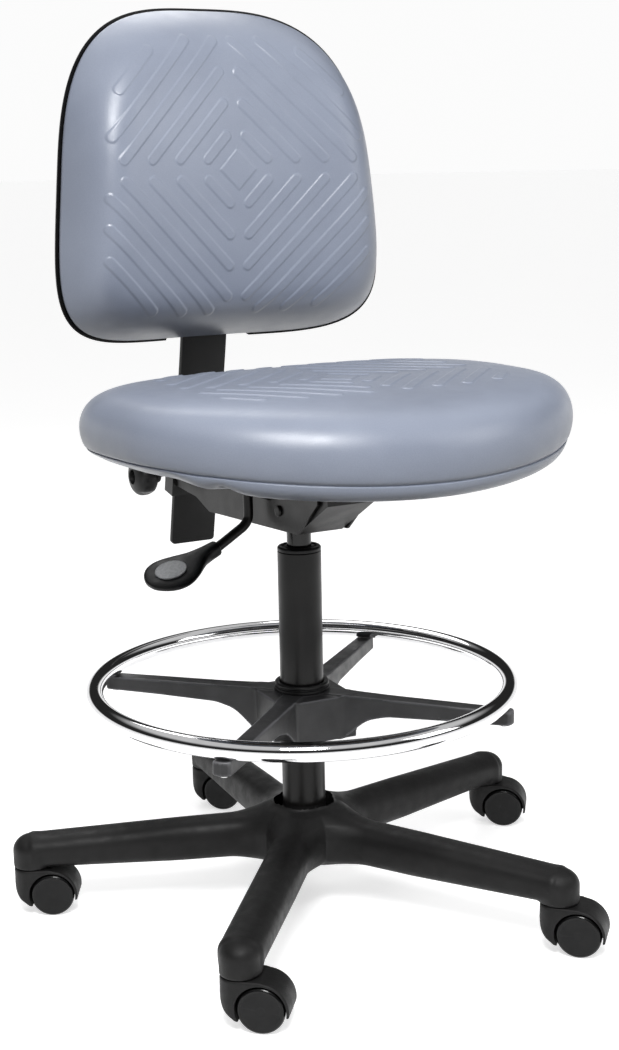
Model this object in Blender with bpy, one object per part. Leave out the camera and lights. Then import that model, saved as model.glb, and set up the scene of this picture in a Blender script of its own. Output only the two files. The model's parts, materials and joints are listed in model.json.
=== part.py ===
"""Drafting chair: five-leg castor base, gas column, foot ring, seat control, padded seat and back.

Metres, +Z up. The sitter faces -Y, so -X is the sitter's right, where the height lever is. The floor is
z = 0. The column's axis stands a little off the origin, because the origin is the middle of the chair's box.
"""

import math

import bmesh
import bpy
from mathutils import Matrix, Vector

# ---- driving dimensions ----
AXIS_X = -0.0239
AXIS_Y = -0.0078
GAP = 0.0003

# column and gas spring
COLUMN_R = 0.025
COLUMN_WALL = 0.0024
COLUMN_BOTTOM = 0.062
COLUMN_TOP = 0.4175
CYLINDER_R = 0.014
CYLINDER_BOTTOM = 0.085
CYLINDER_TOP = 0.483
TAPER_START = 0.445
ROD_R = 0.005
PISTON_TOP = 0.352

# base
LEG_COUNT = 5
FIRST_LEG_DEG = 13.68
STEM_CIRCLE = 0.3191
SOCKET_BOTTOM = 0.0567
SOCKET_R = 0.0218
LEG_HALF_WIDTH = 0.0235
HUB_R = 0.054
HUB_TOP = 0.1155

# castors: where each one happened to be trailing, from leg 0 round to leg 4
TRAIL_DEG = (-38.4, -44.2, -28.3, -39.4, -45.7)
WHEEL_R = 0.025
WHEEL_IN = 0.0045
WHEEL_OUT = 0.0208
TRAIL = 0.0237
HOOD_TOP = 0.0554
HOOD_CLEAR_R = 0.0264
HOOD_R = 0.0292
HOOD_HALF_WIDTH = 0.0214
WEB_HALF = 0.0036
STEM_R = 0.0055
AXLE_R = 0.003

# foot ring
RING_R = 0.2391
RING_TUBE_R = 0.0105
RING_Z = 0.26
SPOKE_COUNT = 4
FIRST_SPOKE_DEG = 41.8
SPOKE_END = 0.2502
RING_HUB_BOTTOM = 0.193
RING_HUB_TOP = 0.2535
HUB_CORNER = 0.0560
HUB_CORNER_SIDE = 0.0100
COLLAR_TOP = 0.2635

# seat control
CHASSIS_HALF_WIDTH = 0.029
CHASSIS_BOTTOM = 0.447
CHASSIS_TOP = 0.5262
NOSE_Y = -0.120
SHEET = 0.0025
ARM_X = 0.0298
ARM_SHEET = 0.003
ARM_PIVOT_Y = -0.016
ARM_PIVOT_Z = 0.469
PIN_R = 0.004
LEVER_Y = 0.026
LEVER_Z = 0.4957
LEVER_SLOT_Y = 0.0215
LEVER_R = 0.0056
PADDLE_NECK = Vector((-0.0905, 0.0265, 0.4262))
PADDLE_CENTRE = Vector((-0.1490, 0.0185, 0.4062))
PADDLE_TILT_DEG = 14.0

# seat
SEAT_Y = -0.118
SEAT_Z = 0.5807
SEAT_HALF_WIDTH = 0.262
SEAT_HALF_DEPTH = 0.202
SEAT_RISE = 0.043
SEAT_SINK = 0.0415
SEAT_DROP = 0.016
SEAT_PLATE_Z = 0.5265
PAN_Z = 0.5301
PAN_TOP = 0.5422
BOLT_X = 0.072
BOLT_Y = 0.085

# back
UPRIGHT_FOOT = (0.2942, 0.374)
UPRIGHT_KNEE = (0.2362, 0.655)
UPRIGHT_TOP = 0.80
UPRIGHT_HALF_WIDTH = 0.030
UPRIGHT_HALF_THICK = 0.004
SLEEVE_LOW = 0.443
SLEEVE_HIGH = 0.507
SLEEVE_HALF_WIDTH = 0.037
SLEEVE_HALF_DEPTH = 0.0115
KNOB_Z = 0.4700
KNOB_R = 0.0255
BACK_Z = 0.836
BACK_Y = 0.2297
BACK_HALF_WIDTH = 0.1993
BACK_HALF_HEIGHT = 0.1908
BACK_TAPER = 0.10
BACK_WRAP = 0.049
LUMBAR_Y = 0.129
LUMBAR_Z = 0.812
LUMBAR_BEND = 1.0
FRONT_WRAP = 0.0254
SHELL_WALL = 0.003
SHELL_BULGE = 0.021
BACK_SCREW_Z = (0.715, 0.775)

# colours: base colour, roughness, metallic
FINISHES = {
    "polyurethane": ((0.27, 0.31, 0.38), 0.45, 0.0),
    "moulded_black": ((0.02, 0.02, 0.021), 0.5, 0.0),
    "nylon_black": ((0.022, 0.022, 0.023), 0.62, 0.0),
    "painted_black": ((0.018, 0.018, 0.019), 0.35, 0.0),
    "cast_grey": ((0.06, 0.06, 0.062), 0.45, 0.3),
    "chrome": ((0.8, 0.8, 0.82), 0.06, 1.0),
    "bright_steel": ((0.55, 0.55, 0.56), 0.25, 1.0),
    "plywood": ((0.45, 0.33, 0.2), 0.7, 0.0),
    "grey_disc": ((0.55, 0.56, 0.57), 0.5, 0.0),
}


def clear_scene():
    for item in list(bpy.data.objects):
        bpy.data.objects.remove(item, do_unlink=True)


def finish(name):
    found = bpy.data.materials.get(name)
    if found:
        return found
    colour, roughness, metallic = FINISHES[name]
    made = bpy.data.materials.new(name)
    made.use_nodes = True
    shader = made.node_tree.nodes["Principled BSDF"]
    shader.inputs["Base Color"].default_value = (*colour, 1.0)
    shader.inputs["Roughness"].default_value = roughness
    shader.inputs["Metallic"].default_value = metallic
    return made


def empty(name, at=(0, 0, 0), parent=None, turn_deg=0.0):
    made = bpy.data.objects.new(name, None)
    made.location = at
    made.rotation_euler = (0, 0, math.radians(turn_deg))
    made.parent = parent
    bpy.context.scene.collection.objects.link(made)
    return made


def piece(name, shape, slot, parent, at=(0, 0, 0)):
    """A named object from a bmesh, shaded smooth below 35 degrees, at a place under its parent."""
    mesh = bpy.data.meshes.new(name)
    bmesh.ops.recalc_face_normals(shape, faces=shape.faces)
    shape.to_mesh(mesh)
    shape.free()
    mesh.shade_smooth()
    mesh.set_sharp_from_angle(angle=math.radians(35))
    made = bpy.data.objects.new(name, mesh)
    made.data.materials.append(finish(slot))
    made.location = at
    made.parent = parent
    bpy.context.scene.collection.objects.link(made)
    return made


# ---- shapes ----
def rings_to_bmesh(rings, close_ends=True):
    """Join rings of equally many points side to side; the first and last are capped, or meet each other."""
    shape = bmesh.new()
    made = [[shape.verts.new(point) for point in ring] for ring in rings]
    count = len(rings[0])
    pairs = list(zip(made, made[1:]))
    if not close_ends:
        pairs.append((made[-1], made[0]))
    for low, high in pairs:
        for i in range(count):
            j = (i + 1) % count
            shape.faces.new((low[i], low[j], high[j], high[i]))
    if close_ends:
        shape.faces.new(reversed(made[0]))
        shape.faces.new(made[-1])
    return shape


def turned(profile, segments, closed=True):
    """Turn (radius, z) points about Z. A closed profile makes a ring; an open one starts and ends on the axis."""
    shape = bmesh.new()
    points = [shape.verts.new((r, 0, z)) for r, z in profile]
    edges = [shape.edges.new(pair) for pair in zip(points, points[1:])]
    if closed:
        edges.append(shape.edges.new((points[-1], points[0])))
    bmesh.ops.spin(
        shape, geom=points + edges, cent=(0, 0, 0), axis=(0, 0, 1), angle=math.tau, steps=segments, use_merge=True
    )
    bmesh.ops.remove_doubles(shape, verts=shape.verts, dist=1e-6)
    return shape


def along_x(shape):
    """Lay a shape turned about Z down so that its axis runs along X."""
    bmesh.ops.rotate(shape, verts=shape.verts, cent=(0, 0, 0), matrix=Matrix.Rotation(math.pi / 2, 3, "Y"))
    return shape


def prism(outline, low, high, plane="YZ"):
    """Extrude a closed outline between two values of the third axis."""
    def place(pair, third):
        if plane == "YZ":
            return (third, pair[0], pair[1])
        if plane == "XZ":
            return (pair[0], third, pair[1])
        return (pair[0], pair[1], third)

    return rings_to_bmesh([[place(pair, third) for pair in outline] for third in (low, high)])


def block(low, high):
    outline = [(low[1], low[2]), (high[1], low[2]), (high[1], high[2]), (low[1], high[2])]
    return prism(outline, low[0], high[0])


def arc(centre, radius, start_deg, end_deg, count):
    step = (end_deg - start_deg) / (count - 1)
    angles = [math.radians(start_deg + step * i) for i in range(count)]
    return [(centre[0] + radius * math.cos(a), centre[1] + radius * math.sin(a)) for a in angles]


def circle(radius, count, centre=(0, 0)):
    return arc(centre, radius, 0, 360 - 360 / count, count)


def power(value, exponent):
    return math.copysign(abs(value) ** exponent, value)


def rounded_point(angle, half_x, half_y, square_low, square_high):
    """A point on a superellipse whose lower and upper halves have their own squareness."""
    c, s = math.cos(angle), math.sin(angle)
    square = square_high if s > 0 else square_low
    return half_x * power(c, 2 / square), half_y * power(s, 2 / square)


def swept(path, radius, sides):
    """A round rod along a path of points, with flat ends."""
    points = [Vector(p) for p in path]
    rings = []
    side = None
    for i, point in enumerate(points):
        before = points[max(i - 1, 0)]
        after = points[min(i + 1, len(points) - 1)]
        ahead = (after - before).normalized()
        if side is None:
            side = ahead.cross(Vector((0, 1, 0))).normalized()
        side = (side - ahead * side.dot(ahead)).normalized()
        other = ahead.cross(side)
        turns = [math.tau * k / sides for k in range(sides)]
        rings.append([point + radius * (side * math.cos(t) + other * math.sin(t)) for t in turns])
    return rings_to_bmesh(rings)


def joined(base, others, operation="UNION"):
    """Apply a Boolean between one bmesh and a list of others, and return the result as a bmesh."""
    def temporary(shape):
        mesh = bpy.data.meshes.new("temporary")
        bmesh.ops.recalc_face_normals(shape, faces=shape.faces)
        shape.to_mesh(mesh)
        shape.free()
        made = bpy.data.objects.new("temporary", mesh)
        bpy.context.scene.collection.objects.link(made)
        return made

    body = temporary(base)
    tools = [temporary(other) for other in others]
    for tool in tools:
        change = body.modifiers.new("boolean", "BOOLEAN")
        change.operation = operation
        change.solver = "EXACT"
        change.object = tool
    result = bmesh.new()
    result.from_object(body, bpy.context.evaluated_depsgraph_get())
    bmesh.ops.remove_doubles(result, verts=result.verts, dist=1e-6)
    for item in [body, *tools]:
        bpy.data.objects.remove(item, do_unlink=True)
    return result


def cut(base, cutters):
    return joined(base, cutters, "DIFFERENCE")


def bore(radius, low, high, at=(0, 0), sides=16):
    return prism(circle(radius, sides, at), low, high, "XY")


def bore_x(radius, low, high, at, sides=12):
    """A cylinder along X at (y, z)."""
    return prism(circle(radius, sides, at), low, high, "YZ")


# ---- base and column ----
def leg(angle_deg):
    """A tapering oval leg, with a domed upright socket at its outer end."""
    sections = (
        (0.031, 0.080, 0.0243), (0.07, 0.0795, 0.0243), (0.15, 0.0775, 0.0235), (STEM_CIRCLE - 0.0037, 0.0748, 0.0179),
    )
    rings = []
    for along, middle, half_height in sections:
        ring = []
        for k in range(12):
            side, up = rounded_point(math.tau * (k + 0.5) / 12, LEG_HALF_WIDTH, half_height, 3.2, 2.5)
            ring.append((along, side, middle + up))
        rings.append(ring)
    arm = rings_to_bmesh(rings)
    dome = [(SOCKET_R * math.cos(a), 0.0748 + 0.0208 * math.sin(a)) for a in (0, 0.6, 1.15, math.pi / 2)]
    end = turned([(0, SOCKET_BOTTOM), (SOCKET_R, SOCKET_BOTTOM), *dome[:-1], (0, dome[-1][1])], 16, closed=False)
    bmesh.ops.translate(end, verts=end.verts, vec=(STEM_CIRCLE, 0, 0))
    turn = Matrix.Rotation(math.radians(angle_deg), 3, "Z")
    for shape in (arm, end):
        bmesh.ops.rotate(shape, verts=shape.verts, cent=(0, 0, 0), matrix=turn)
    return arm, end


def leg_angles():
    return [FIRST_LEG_DEG + 360 / LEG_COUNT * i for i in range(LEG_COUNT)]


def leg_channel(angle_deg):
    """The hollow under a leg, between its two side walls."""
    outline = [(-0.0125, 0.045), (0.0125, 0.045), (0.0105, 0.084), (-0.0105, 0.084)]
    shape = prism(outline, 0.072, 0.284)
    turn = Matrix.Rotation(math.radians(angle_deg), 3, "Z")
    bmesh.ops.rotate(shape, verts=shape.verts, cent=(0, 0, 0), matrix=turn)
    return shape


def base_star(parent):
    hub_profile = [
        (0, 0.0575), (HUB_R, 0.0575), (HUB_R, 0.088), (0.050, 0.102), (0.039, 0.1115), (0.031, HUB_TOP), (0, HUB_TOP),
    ]
    hub = turned(hub_profile, 25, closed=False)
    limbs = [shape for angle in leg_angles() for shape in leg(angle)]
    star = joined(hub, limbs)
    cutters = [bore(COLUMN_R + GAP, 0.03, 0.14, sides=28)]
    for angle in leg_angles():
        a = math.radians(angle)
        at = (STEM_CIRCLE * math.cos(a), STEM_CIRCLE * math.sin(a))
        cutters.append(bore(STEM_R + GAP, 0.04, 0.0885, at, 12))
        cutters.append(leg_channel(angle))
    piece("base_star", cut(star, cutters), "nylon_black", parent)


def column(parent):
    inner = COLUMN_R - COLUMN_WALL
    floor = COLUMN_BOTTOM + 0.0035
    tube = [
        (ROD_R + 0.0006, COLUMN_BOTTOM), (COLUMN_R, COLUMN_BOTTOM), (COLUMN_R, COLUMN_TOP),
        (inner, COLUMN_TOP), (inner, floor), (ROD_R + 0.0006, floor),
    ]
    piece("column_tube", turned(tube, 28), "painted_black", parent)
    flange = COLUMN_TOP + GAP
    bushing = [
        (CYLINDER_R + GAP, 0.345), (inner - GAP, 0.345), (inner - GAP, flange), (COLUMN_R, flange),
        (COLUMN_R, flange + 0.0035), (COLUMN_R - 0.0015, flange + 0.005), (CYLINDER_R + GAP, flange + 0.005),
    ]
    piece("guide_bushing", turned(bushing, 24), "moulded_black", parent)
    bearing = floor + GAP
    race = [(ROD_R + 0.0006, bearing), (0.012, bearing), (0.012, bearing + 0.005), (ROD_R + 0.0006, bearing + 0.005)]
    piece("thrust_bearing", turned(race, 16), "bright_steel", parent)


def piston(parent):
    head = PISTON_TOP - 0.010
    profile = [
        (0, 0.0565), (ROD_R, 0.0565), (ROD_R, head), (0.0112, head), (0.0112, PISTON_TOP), (0, PISTON_TOP),
    ]
    piece("piston_rod", turned(profile, 12, closed=False), "bright_steel", parent)
    top = COLUMN_BOTTOM - GAP
    clip = [(ROD_R + GAP, top - 0.002), (0.0095, top - 0.002), (0.0095, top), (ROD_R + GAP, top)]
    piece("retaining_clip", turned(clip, 12), "bright_steel", parent)


def gas_cylinder(parent):
    profile = [
        (0, 0.468), (0.0045, 0.468), (0.0045, CYLINDER_TOP), (0.0133, CYLINDER_TOP), (CYLINDER_R, TAPER_START),
        (CYLINDER_R, CYLINDER_BOTTOM), (ROD_R + GAP, CYLINDER_BOTTOM), (ROD_R + GAP, CYLINDER_BOTTOM + 0.01),
        (0.0115, CYLINDER_BOTTOM + 0.01), (0.0115, 0.460), (0, 0.460),
    ]
    piece("gas_cylinder", turned(profile, 20, closed=False), "painted_black", parent)


def release_pin(parent):
    profile = [(0, 0.4725), (0.004, 0.4725), (0.004, 0.4888), (0.003, 0.4898), (0, 0.4898)]
    piece("release_pin", turned(profile, 10, closed=False), "bright_steel", parent)


# ---- castors ----
def hood_outline():
    """Side view of the hood: neck at the front, an arc round the wheel, and a lip behind."""
    wheel = (TRAIL, WHEEL_R)
    back = arc(wheel, HOOD_R, 72, -12, 7)
    front = [(-SOCKET_R, HOOD_TOP), (-SOCKET_R, 0.035), (-0.0190, 0.0255), (-0.0135, 0.0185), (-0.0060, 0.0145)]
    return front, back


def castor_hood(parent, name):
    """Full-width outline, rounded at the neck, with a pocket for each wheel beside a middle web."""
    wheel = (TRAIL, WHEEL_R)
    front, back = hood_outline()
    lip = arc(wheel, HOOD_CLEAR_R, -12, -14, 2)[0]
    web_foot = [(TRAIL + 0.0065, 0.017), (TRAIL - 0.006, 0.012)]
    outline = [*front[::-1], (0.0225, HOOD_TOP), *back, lip, *web_foot]
    neck = prism(arc((0, 0), SOCKET_R, 90, 270, 9) + [(0.07, -SOCKET_R), (0.07, SOCKET_R)], 0.0, 0.07, "XY")
    shape = joined(prism(outline, -HOOD_HALF_WIDTH, HOOD_HALF_WIDTH, "XZ"), [neck], "INTERSECT")
    pockets = []
    for side in (-1, 1):
        pockets.append(prism(circle(HOOD_CLEAR_R, 24, wheel), side * WEB_HALF, side * 0.03, "XZ"))
    axle = prism(circle(AXLE_R + GAP, 12, wheel), -0.03, 0.03, "XZ")
    piece(name, cut(shape, [*pockets, bore(STEM_R + GAP, 0.0448, 0.08, sides=12), axle]), "nylon_black", parent)


def wheel_profile():
    tread = WHEEL_R
    bore_r = AXLE_R + GAP
    return [
        (0, WHEEL_OUT), (tread - 0.0020, WHEEL_OUT), (tread, WHEEL_OUT - 0.0020),
        (tread, WHEEL_IN), (bore_r, WHEEL_IN), (bore_r, 0.0178), (0, 0.0178),
    ]


def castor_wheel(parent, name, side):
    """A wheel turned about Z, then laid on its side so that its axle lies along local Y."""
    shape = turned(wheel_profile(), 24, closed=False)
    bmesh.ops.rotate(shape, verts=shape.verts, cent=(0, 0, 0), matrix=Matrix.Rotation(-side * math.pi / 2, 3, "X"))
    piece(name, shape, "nylon_black", parent)


def castors(origin):
    for i, angle in enumerate(leg_angles()):
        a = math.radians(angle)
        at = (STEM_CIRCLE * math.cos(a), STEM_CIRCLE * math.sin(a), 0)
        swivel = empty(f"castor_{i + 1}_swivel_axis", at, origin, TRAIL_DEG[i])
        stem = [(0, 0.0452), (STEM_R, 0.0452), (STEM_R, 0.0875), (0, 0.0875)]
        piece(f"castor_{i + 1}_stem", turned(stem, 12, closed=False), "bright_steel", origin, at)
        castor_hood(swivel, f"castor_{i + 1}_hood")
        axle = empty(f"castor_{i + 1}_axle_axis", (TRAIL, 0, WHEEL_R), swivel)
        pin = prism(circle(AXLE_R, 12), -0.0175, 0.0175, "XZ")
        piece(f"castor_{i + 1}_axle", pin, "bright_steel", axle)
        castor_wheel(axle, f"castor_{i + 1}_wheel_left", 1)
        castor_wheel(axle, f"castor_{i + 1}_wheel_right", -1)


# ---- foot ring ----
def foot_ring(parent):
    rings = []
    for i in range(48):
        a = math.tau * i / 48
        ring = []
        for k in range(8):
            t = math.tau * k / 8
            reach = RING_R + RING_TUBE_R * math.cos(t)
            ring.append((reach * math.cos(a), reach * math.sin(a), RING_Z + RING_TUBE_R * math.sin(t)))
        rings.append(ring)
    piece("foot_ring", rings_to_bmesh(rings, close_ends=False), "chrome", parent)


def spoke(angle_deg):
    """One arm of the casting: deep at the hub, with an arch below, slim at the ring."""
    sections = (
        (0.0272, 0.0128, 0.200, 0.2530), (0.048, 0.0122, 0.200, 0.2530), (0.058, 0.0118, 0.2035, 0.2527),
        (0.068, 0.0114, 0.2135, 0.2523), (0.082, 0.0110, 0.2245, 0.2520), (0.105, 0.0105, 0.2305, 0.2512),
        (0.180, 0.0100, 0.2325, 0.2500), (SPOKE_END - 0.003, 0.0100, 0.2330, 0.2491),
        (SPOKE_END, 0.0085, 0.2340, 0.2484),
    )
    rings = []
    bevel = 0.0018
    for along, half, low, high in sections:
        outline = [
            (half, low), (half, high - bevel), (half - bevel, high),
            (bevel - half, high), (-half, high - bevel), (-half, low),
        ]
        rings.append([(along, side, up) for side, up in outline])
    shape = rings_to_bmesh(rings)
    turn = Matrix.Rotation(math.radians(angle_deg), 3, "Z")
    bmesh.ops.rotate(shape, verts=shape.verts, cent=(0, 0, 0), matrix=turn)
    return shape


def spoke_angles():
    return [FIRST_SPOKE_DEG + 360 / SPOKE_COUNT * i for i in range(SPOKE_COUNT)]


def ring_hub(parent):
    """A round boss inside a block whose four flat sides face between the spokes."""
    boss = [(0, RING_HUB_BOTTOM), (0.031, RING_HUB_BOTTOM), (0.031, RING_HUB_TOP), (0, RING_HUB_TOP)]
    corners = []
    for angle in spoke_angles():
        a = math.radians(angle)
        for side in (-HUB_CORNER_SIDE, HUB_CORNER_SIDE):
            corners.append((HUB_CORNER * math.cos(a) - side * math.sin(a), HUB_CORNER * math.sin(a) + side * math.cos(a)))
    block_shape = prism(corners, 0.2008, 0.2514, "XY")
    shape = joined(turned(boss, 24, closed=False), [block_shape, *[spoke(angle) for angle in spoke_angles()]])
    cutters = [bore(COLUMN_R + 0.0006, 0.15, 0.30, sides=28)]
    for angle in spoke_angles():
        a = math.radians(angle)
        cutters.append(bore(0.0027, 0.2, 0.3, (RING_R * math.cos(a), RING_R * math.sin(a)), 10))
    piece("foot_ring_hub", cut(shape, cutters), "cast_grey", parent)


def lock_collar(parent):
    low = RING_HUB_TOP + GAP
    inner = COLUMN_R + 0.0006
    profile = [
        (inner, low), (0.0322, low), (0.0322, low + 0.0035), (0.0302, low + 0.0045),
        (0.0315, COLLAR_TOP - 0.0020), (0.0300, COLLAR_TOP), (inner, COLLAR_TOP),
    ]
    piece("lock_collar", turned(profile, 24), "moulded_black", parent)


def ring_screws(parent):
    for i, angle in enumerate(spoke_angles()):
        a = math.radians(angle)
        head = 0.2330 - GAP
        profile = [
            (0, head - 0.003), (0.004, head - 0.003), (0.0048, head), (0.0024, head), (0.0024, 0.2489), (0, 0.2489),
        ]
        at = (RING_R * math.cos(a), RING_R * math.sin(a), 0)
        piece(f"ring_screw_{i + 1}", turned(profile, 10, closed=False), "bright_steel", parent, at)


# ---- seat control ----
def chassis(parent):
    """A folded steel channel, open above, with a sloping nose and a taper socket welded into its floor."""
    w = CHASSIS_HALF_WIDTH
    heel = 0.104
    outer = [
        (NOSE_Y, CHASSIS_TOP), (NOSE_Y, 0.490), (-0.049, CHASSIS_BOTTOM), (heel, CHASSIS_BOTTOM), (heel, CHASSIS_TOP),
    ]
    t = SHEET
    floor = CHASSIS_BOTTOM + t
    inner = [(NOSE_Y + t, 0.56), (NOSE_Y + t, 0.4915), (-0.048, floor), (heel - t, floor), (heel - t, 0.56)]
    slot = block((-w - 0.01, LEVER_SLOT_Y - 0.0105, LEVER_Z - 0.0075), (-w + 0.006, LEVER_SLOT_Y + 0.0105, 0.56))
    pivot = bore_x(PIN_R + GAP, -0.05, 0.05, (ARM_PIVOT_Y, ARM_PIVOT_Z))
    channel = cut(prism(outer, -w, w), [prism(inner, t - w, w - t), slot, pivot])
    socket = turned([(0, CHASSIS_BOTTOM), (0.0185, CHASSIS_BOTTOM), (0.0185, 0.478), (0, 0.478)], 24, closed=False)
    taper = (CYLINDER_R - 0.0133) / (CYLINDER_TOP - TAPER_START)
    low, high = CHASSIS_BOTTOM - 0.002, 0.480
    low_r = CYLINDER_R - taper * (low - TAPER_START) + GAP
    high_r = CYLINDER_R - taper * (high - TAPER_START) + GAP
    bore_shape = turned([(0, low), (low_r, low), (high_r, high), (0, high)], 28, closed=False)
    piece("chassis", cut(joined(channel, [socket]), [bore_shape]), "painted_black", parent)


def pivot_pins(parent):
    for name, side in (("pivot_pin_right", -1), ("pivot_pin_left", 1)):
        outer = ARM_X + ARM_SHEET + 0.0005
        tip = outer + 0.003
        profile = [(0, 0.0235), (PIN_R, 0.0235), (PIN_R, outer), (0.0065, outer), (0.0065, tip), (0, tip)]
        shape = along_x(turned([(r, z * side) for r, z in profile], 12, closed=False))
        piece(name, shape, "painted_black", parent, (0, ARM_PIVOT_Y, ARM_PIVOT_Z))


def seat_plate(parent):
    corner = 0.012
    half_x, half_y = 0.088, 0.105
    outline = []
    for sx, sy, start in ((1, 1, 0), (-1, 1, 90), (-1, -1, 180), (1, -1, 270)):
        centre = (sx * (half_x - corner), SEAT_Y + 0.02 + sy * (half_y - corner))
        outline += arc(centre, corner, start, start + 90, 4)
    holes = [bore(0.0033, 0.5, 0.56, at, 10) for at in bolt_places()]
    shape = cut(prism(outline, SEAT_PLATE_Z, SEAT_PLATE_Z + 0.003, "XY"), holes)
    piece("seat_plate", shape, "painted_black", parent)


def bolt_places():
    return [(sx * BOLT_X, SEAT_Y + 0.02 + sy * BOLT_Y) for sx in (-1, 1) for sy in (-1, 1)]


def seat_outline(scale, squareness_low=1.97, squareness_high=3.3, count=40):
    """The seat seen from above: round in front, squarer and a little wider behind."""
    points = []
    for k in range(count):
        x, y = rounded_point(math.tau * k / count, SEAT_HALF_WIDTH, SEAT_HALF_DEPTH, squareness_low, squareness_high)
        x *= 1 + 0.075 * y / SEAT_HALF_DEPTH
        points.append((scale * x, scale * y))
    return points


def seat_pan(parent):
    outline = [(x, SEAT_Y + y) for x, y in seat_outline(0.69, count=32)]
    holes = [bore(0.0033, 0.5, 0.56, at, 10) for at in bolt_places()]
    piece("seat_pan", cut(prism(outline, PAN_Z, PAN_TOP, "XY"), holes), "plywood", parent)


def seat_bolts(parent):
    low = SEAT_PLATE_Z - GAP
    for i, at in enumerate(bolt_places()):
        head, tip = low - 0.004, PAN_TOP - 0.001
        profile = [(0, head), (0.0058, head), (0.0058, low), (0.003, low), (0.003, tip), (0, tip)]
        piece(f"seat_bolt_{i + 1}", turned(profile, 10, closed=False), "bright_steel", parent, (*at, 0))


def seat_cushion(parent):
    """Plain closed solid of the seat's size: flat below, rounded edge, waterfall front."""
    steps = [
        (0.71, None), (0.86, -1.0), (0.94, -0.82), (0.985, -0.45), (1.0, 0.0),
        (0.975, 0.5), (0.90, 0.84), (0.78, 0.97), (0.5, 1.0),
    ]
    rings = []
    for scale, level in steps:
        ring = []
        for x, y in seat_outline(scale):
            front = min(y, 0.0) / SEAT_HALF_DEPTH
            rise = (SEAT_RISE if level and level > 0 else SEAT_SINK) * (level or 0)
            z = PAN_TOP + GAP if level is None else SEAT_Z + rise - SEAT_DROP * front * front
            ring.append((x, SEAT_Y + y, z))
        rings.append(ring)
    piece("seat_cushion", rings_to_bmesh(rings), "polyurethane", parent)


# ---- height lever ----
def lever_points():
    """The rod's path: level over the release pin, down beside the control, then out to the paddle."""
    return [
        Vector((0.0060, -0.0040, LEVER_Z)), Vector((-0.0140, 0.0105, LEVER_Z)), Vector((-0.0360, LEVER_Y, LEVER_Z)),
        Vector((-0.0425, 0.0300, 0.4935)), Vector((-0.0465, 0.0315, 0.4890)), Vector((-0.0478, 0.0315, 0.4820)),
        Vector((-0.0482, 0.0305, 0.4600)), Vector((-0.0502, 0.0298, 0.4520)), Vector((-0.0555, 0.0292, 0.4462)),
        Vector((-0.0620, 0.0288, 0.4421)), PADDLE_NECK, PADDLE_NECK.lerp(PADDLE_CENTRE, 0.16),
    ]


def paddle_axes():
    along = (PADDLE_CENTRE - PADDLE_NECK).normalized()
    tilt = math.tan(math.radians(PADDLE_TILT_DEG))
    across = Vector((0, -1, -tilt))
    across = (across - along * across.dot(along)).normalized()
    up = across.cross(along).normalized()
    if up.z < 0:
        up = -up
    return along, across, up


def height_lever(parent, pivot):
    path = [point - pivot for point in lever_points()]
    piece("height_lever_rod", swept(path, LEVER_R, 10), "painted_black", parent)
    along, across, up = paddle_axes()
    start = PADDLE_NECK - pivot
    reach = (PADDLE_CENTRE - PADDLE_NECK).length
    sections = (
        (0.0, 0.0088, 0.0082), (0.016, 0.0115, 0.0078), (0.030, 0.0180, 0.0064), (0.044, 0.0280, 0.0046),
        (reach - 0.006, 0.0340, 0.0046), (reach + 0.004, 0.0345, 0.0045), (reach + 0.018, 0.0290, 0.0043),
        (reach + 0.027, 0.0195, 0.0040), (reach + 0.032, 0.0075, 0.0032),
    )
    rings = []
    for step, half, thick in sections:
        ring = []
        for k in range(16):
            t = math.tau * k / 16
            sideways = across * half * power(math.cos(t), 0.8)
            ring.append(start + along * step + sideways + up * thick * power(math.sin(t), 0.8))
        rings.append(ring)
    hole = swept([start - along * 0.004, start + along * 0.0125], LEVER_R + GAP, 12)
    piece("height_lever_paddle", cut(rings_to_bmesh(rings), [hole]), "moulded_black", parent)
    centre = PADDLE_CENTRE - pivot + along * 0.002 + up * (0.0046 + GAP)
    disc = swept([centre, centre + up * 0.0010], 0.0180, 24)
    piece("lever_disc", disc, "grey_disc", parent)


# ---- back ----
def upright_lean():
    """Unit vector up along the leaning lower part of the upright."""
    foot = Vector((0, *UPRIGHT_FOOT))
    knee = Vector((0, *UPRIGHT_KNEE))
    return (knee - foot).normalized()


def upright_at(z):
    foot = Vector((0, *UPRIGHT_FOOT))
    lean = upright_lean()
    return foot + lean * ((z - foot.z) / lean.z)


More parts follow.
